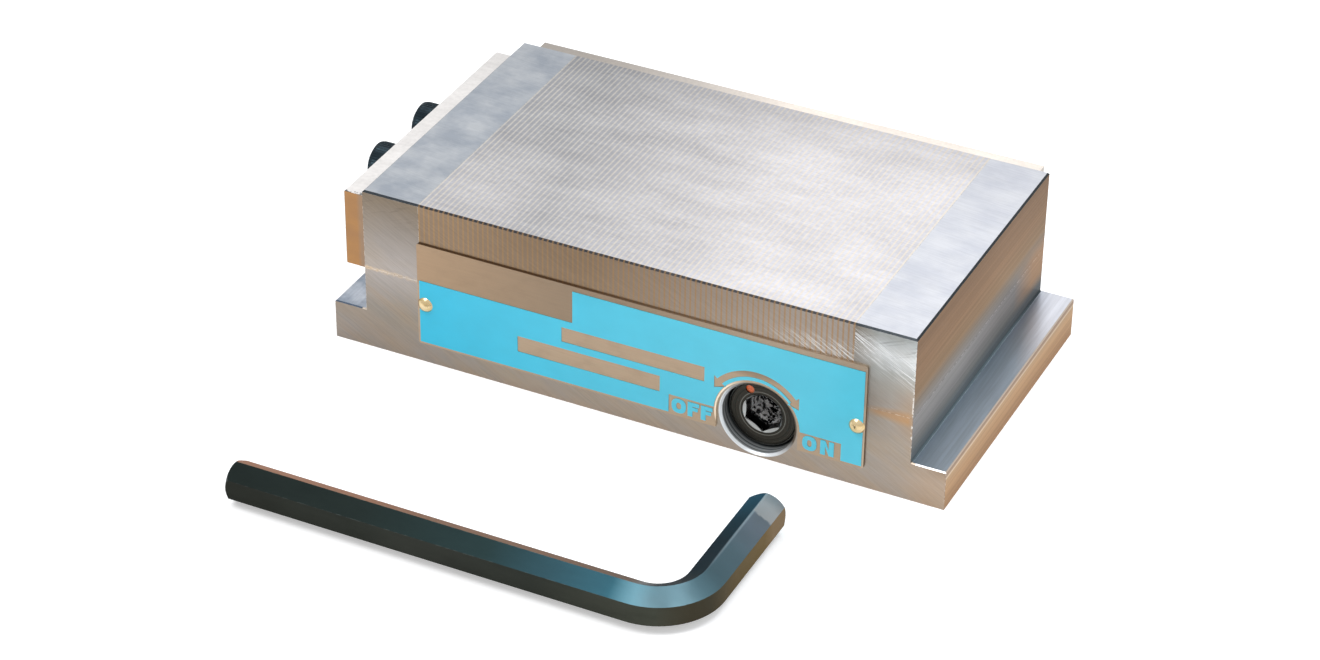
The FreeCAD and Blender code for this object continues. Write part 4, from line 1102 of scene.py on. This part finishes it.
# %% The screw's tree
def geometry_tree(name, inputs):
    """A Geometry Nodes tree with named inputs, given as (name, kind, default)."""
    tree = bpy.data.node_groups.new(name, "GeometryNodeTree")
    tree.interface.new_socket("Geometry", in_out="INPUT", socket_type="NodeSocketGeometry")
    for label, kind, default in inputs:
        socket = tree.interface.new_socket(label, in_out="INPUT", socket_type=kind)
        if default is not None:
            socket.default_value = default
    tree.interface.new_socket("Geometry", in_out="OUTPUT", socket_type="NodeSocketGeometry")
    return tree, tree.nodes.new("NodeGroupInput").outputs, tree.nodes.new("NodeGroupOutput").inputs


HEAD_OVERLAP = 0.0005


def cap_screw_tree():
    inputs = [
        ("Head Radius", "NodeSocketFloat", 0.005),
        ("Head Height", "NodeSocketFloat", 0.006),
        ("Rim", "NodeSocketFloat", 0.0015),
        ("Ridges", "NodeSocketInt", 48),
        ("Ridge Depth", "NodeSocketFloat", 0.00012),
        ("Socket Width", "NodeSocketFloat", 0.005),
        ("Socket Depth", "NodeSocketFloat", 0.003),
        ("Shank Radius", "NodeSocketFloat", 0.003),
        ("Shank Length", "NodeSocketFloat", 0.014),
        ("Places", "NodeSocketVector", None),
        ("Pitch", "NodeSocketVector", None),
        ("Turn", "NodeSocketVector", None),
        ("Finish", "NodeSocketMaterial", None),
    ]
    tree, given, result = geometry_tree("cap screws", inputs)

    def math_step(operation, a, b=0.0):
        return add_node(tree, "ShaderNodeMath", {"operation": operation}, {0: a, 1: b}).outputs[0]

    def vector(x=0.0, y=0.0, z=0.0):
        return add_node(tree, "ShaderNodeCombineXYZ", inputs={"X": x, "Y": y, "Z": z}).outputs[0]

    def moved(mesh, offset):
        return add_node(tree, "GeometryNodeTransform",
                        inputs={"Geometry": mesh, "Translation": offset}).outputs[0]

    sides = math_step("MULTIPLY", given["Ridges"], 4.0)
    disc = add_node(tree, "GeometryNodeMeshCylinder", {"fill_type": "NGON"},
                    {"Vertices": sides, "Side Segments": 8, "Radius": given["Head Radius"],
                     "Depth": given["Head Height"]})
    disc = moved(disc.outputs["Mesh"], vector(z=math_step("MULTIPLY", given["Head Height"], 0.5)))

    # How far a point lies past the start of the rounded rim, from 0 to 1
    at = add_node(tree, "ShaderNodeSeparateXYZ",
                  inputs={0: add_node(tree, "GeometryNodeInputPosition").outputs[0]}).outputs
    rim_start = math_step("SUBTRACT", given["Head Height"], given["Rim"])
    past = math_step("DIVIDE", math_step("SUBTRACT", at["Z"], rim_start), given["Rim"])
    past = math_step("MINIMUM", math_step("MAXIMUM", past, 0.0), 1.0)
    fall = math_step("SUBTRACT", 1.0,
                     math_step("SQRT", math_step("SUBTRACT", 1.0, math_step("MULTIPLY", past, past))))
    inset = math_step("MULTIPLY", fall, given["Rim"])

    # The ridges fade out over the rim
    angle = math_step("ARCTAN2", at["Y"], at["X"])
    wave = math_step("COSINE", math_step("MULTIPLY", angle, given["Ridges"]))
    groove = math_step("MULTIPLY", math_step("MULTIPLY", math_step("ADD", wave, 1.0), 0.5),
                       given["Ridge Depth"])
    groove = math_step("MULTIPLY", groove, math_step("SUBTRACT", 1.0, past))
    shrink = math_step("DIVIDE", math_step("ADD", inset, groove), given["Head Radius"])
    keep = math_step("SUBTRACT", 1.0, shrink)
    new_place = vector(math_step("MULTIPLY", at["X"], keep), math_step("MULTIPLY", at["Y"], keep), at["Z"])
    disc = add_node(tree, "GeometryNodeSetPosition",
                    inputs={"Geometry": disc, "Position": new_place}).outputs[0]

    shank = add_node(tree, "GeometryNodeMeshCylinder", {"fill_type": "NGON"},
                     {"Vertices": 32, "Radius": given["Shank Radius"], "Depth": given["Shank Length"]})
    down = math_step("MULTIPLY", given["Shank Length"], -0.5)
    shank = moved(shank.outputs["Mesh"], vector(z=math_step("ADD", down, HEAD_OVERLAP)))
    corner = math_step("DIVIDE", given["Socket Width"], math.sqrt(3))
    hexagon = add_node(tree, "GeometryNodeMeshCylinder", {"fill_type": "NGON"},
                       {"Vertices": 6, "Radius": corner,
                        "Depth": math_step("MULTIPLY", given["Socket Depth"], 2.0)})
    hexagon = moved(hexagon.outputs["Mesh"], vector(z=given["Head Height"]))
    body = add_node(tree, "GeometryNodeMeshBoolean", {"operation": "UNION", "solver": "EXACT"})
    tree.links.new(disc, body.inputs["Mesh 2"])
    tree.links.new(shank, body.inputs["Mesh 2"])
    screw = add_node(tree, "GeometryNodeMeshBoolean", {"operation": "DIFFERENCE", "solver": "EXACT"},
                     {"Mesh 1": body.outputs["Mesh"], "Mesh 2": hexagon}).outputs["Mesh"]

    line = add_node(tree, "GeometryNodeMeshLine", {"mode": "OFFSET"},
                    {"Count": 2, "Start Location": given["Places"], "Offset": given["Pitch"]}).outputs[0]
    copies = add_node(tree, "GeometryNodeInstanceOnPoints",
                      inputs={"Points": line, "Instance": screw, "Rotation": given["Turn"]}).outputs[0]
    real = add_node(tree, "GeometryNodeRealizeInstances", inputs={"Geometry": copies}).outputs[0]
    done = add_node(tree, "GeometryNodeSetMaterial",
                    inputs={"Geometry": real, "Material": given["Finish"]}).outputs[0]
    plug(tree, result["Geometry"], done)
    return tree


CAP_SCREWS = cap_screw_tree()


# %% Two pairs of screws
def grow(name, tree, values):
    """Runs a tree on an empty mesh and gives back its result as a plain mesh object."""
    holder = new_object(name + "_holder", bpy.data.meshes.new(name + "_holder"))
    modifier = holder.modifiers.new("tree", "NODES")
    modifier.node_group = tree
    for item in tree.interface.items_tree:
        if item.in_out == "INPUT" and item.name in values:
            modifier[item.identifier] = values[item.name]
    bpy.context.view_layer.update()
    evaluated = holder.evaluated_get(bpy.context.evaluated_depsgraph_get())
    mesh = bpy.data.meshes.new_from_object(evaluated)
    mesh.name = name
    bpy.data.objects.remove(holder)
    return new_object(name, mesh)


HEAD_HEIGHT = 6.0 * MM
HEAD_RADIUS = 5.0 * MM


def screw_pair(name, node, axis, outward):
    """Screws that stand for a node's two. Axis is the line through the pair, outward the way they look."""
    low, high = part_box(node)
    middle = (low + high) / 2
    first = middle.copy()
    first[axis] = low[axis] + HEAD_RADIUS
    pitch = Vector((0.0, 0.0, 0.0))
    pitch[axis] = high[axis] - low[axis] - 2 * HEAD_RADIUS
    face = 1 - axis
    seat = high[face] - HEAD_HEIGHT if outward > 0 else low[face] + HEAD_HEIGHT
    first[face] = seat
    first.z = middle.z
    length = high[face] - low[face] - HEAD_HEIGHT
    turn = (0.0, math.radians(90 * outward), 0.0) if face == 0 else (math.radians(-90 * outward), 0.0, 0.0)
    values = {"Places": first, "Pitch": pitch, "Turn": turn, "Head Height": HEAD_HEIGHT,
              "Head Radius": HEAD_RADIUS,
              "Shank Length": length, "Finish": screw_oxide}
    piece = grow(name, CAP_SCREWS, values)
    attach(piece, "chuck")
    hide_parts(node)
    print(name, "faces", len(piece.data.polygons))


screw_pair("side_cap_screws", "side_stop_screws", 1, -1)
screw_pair("rear_cap_screws", "rear_stop_screws", 0, 1)
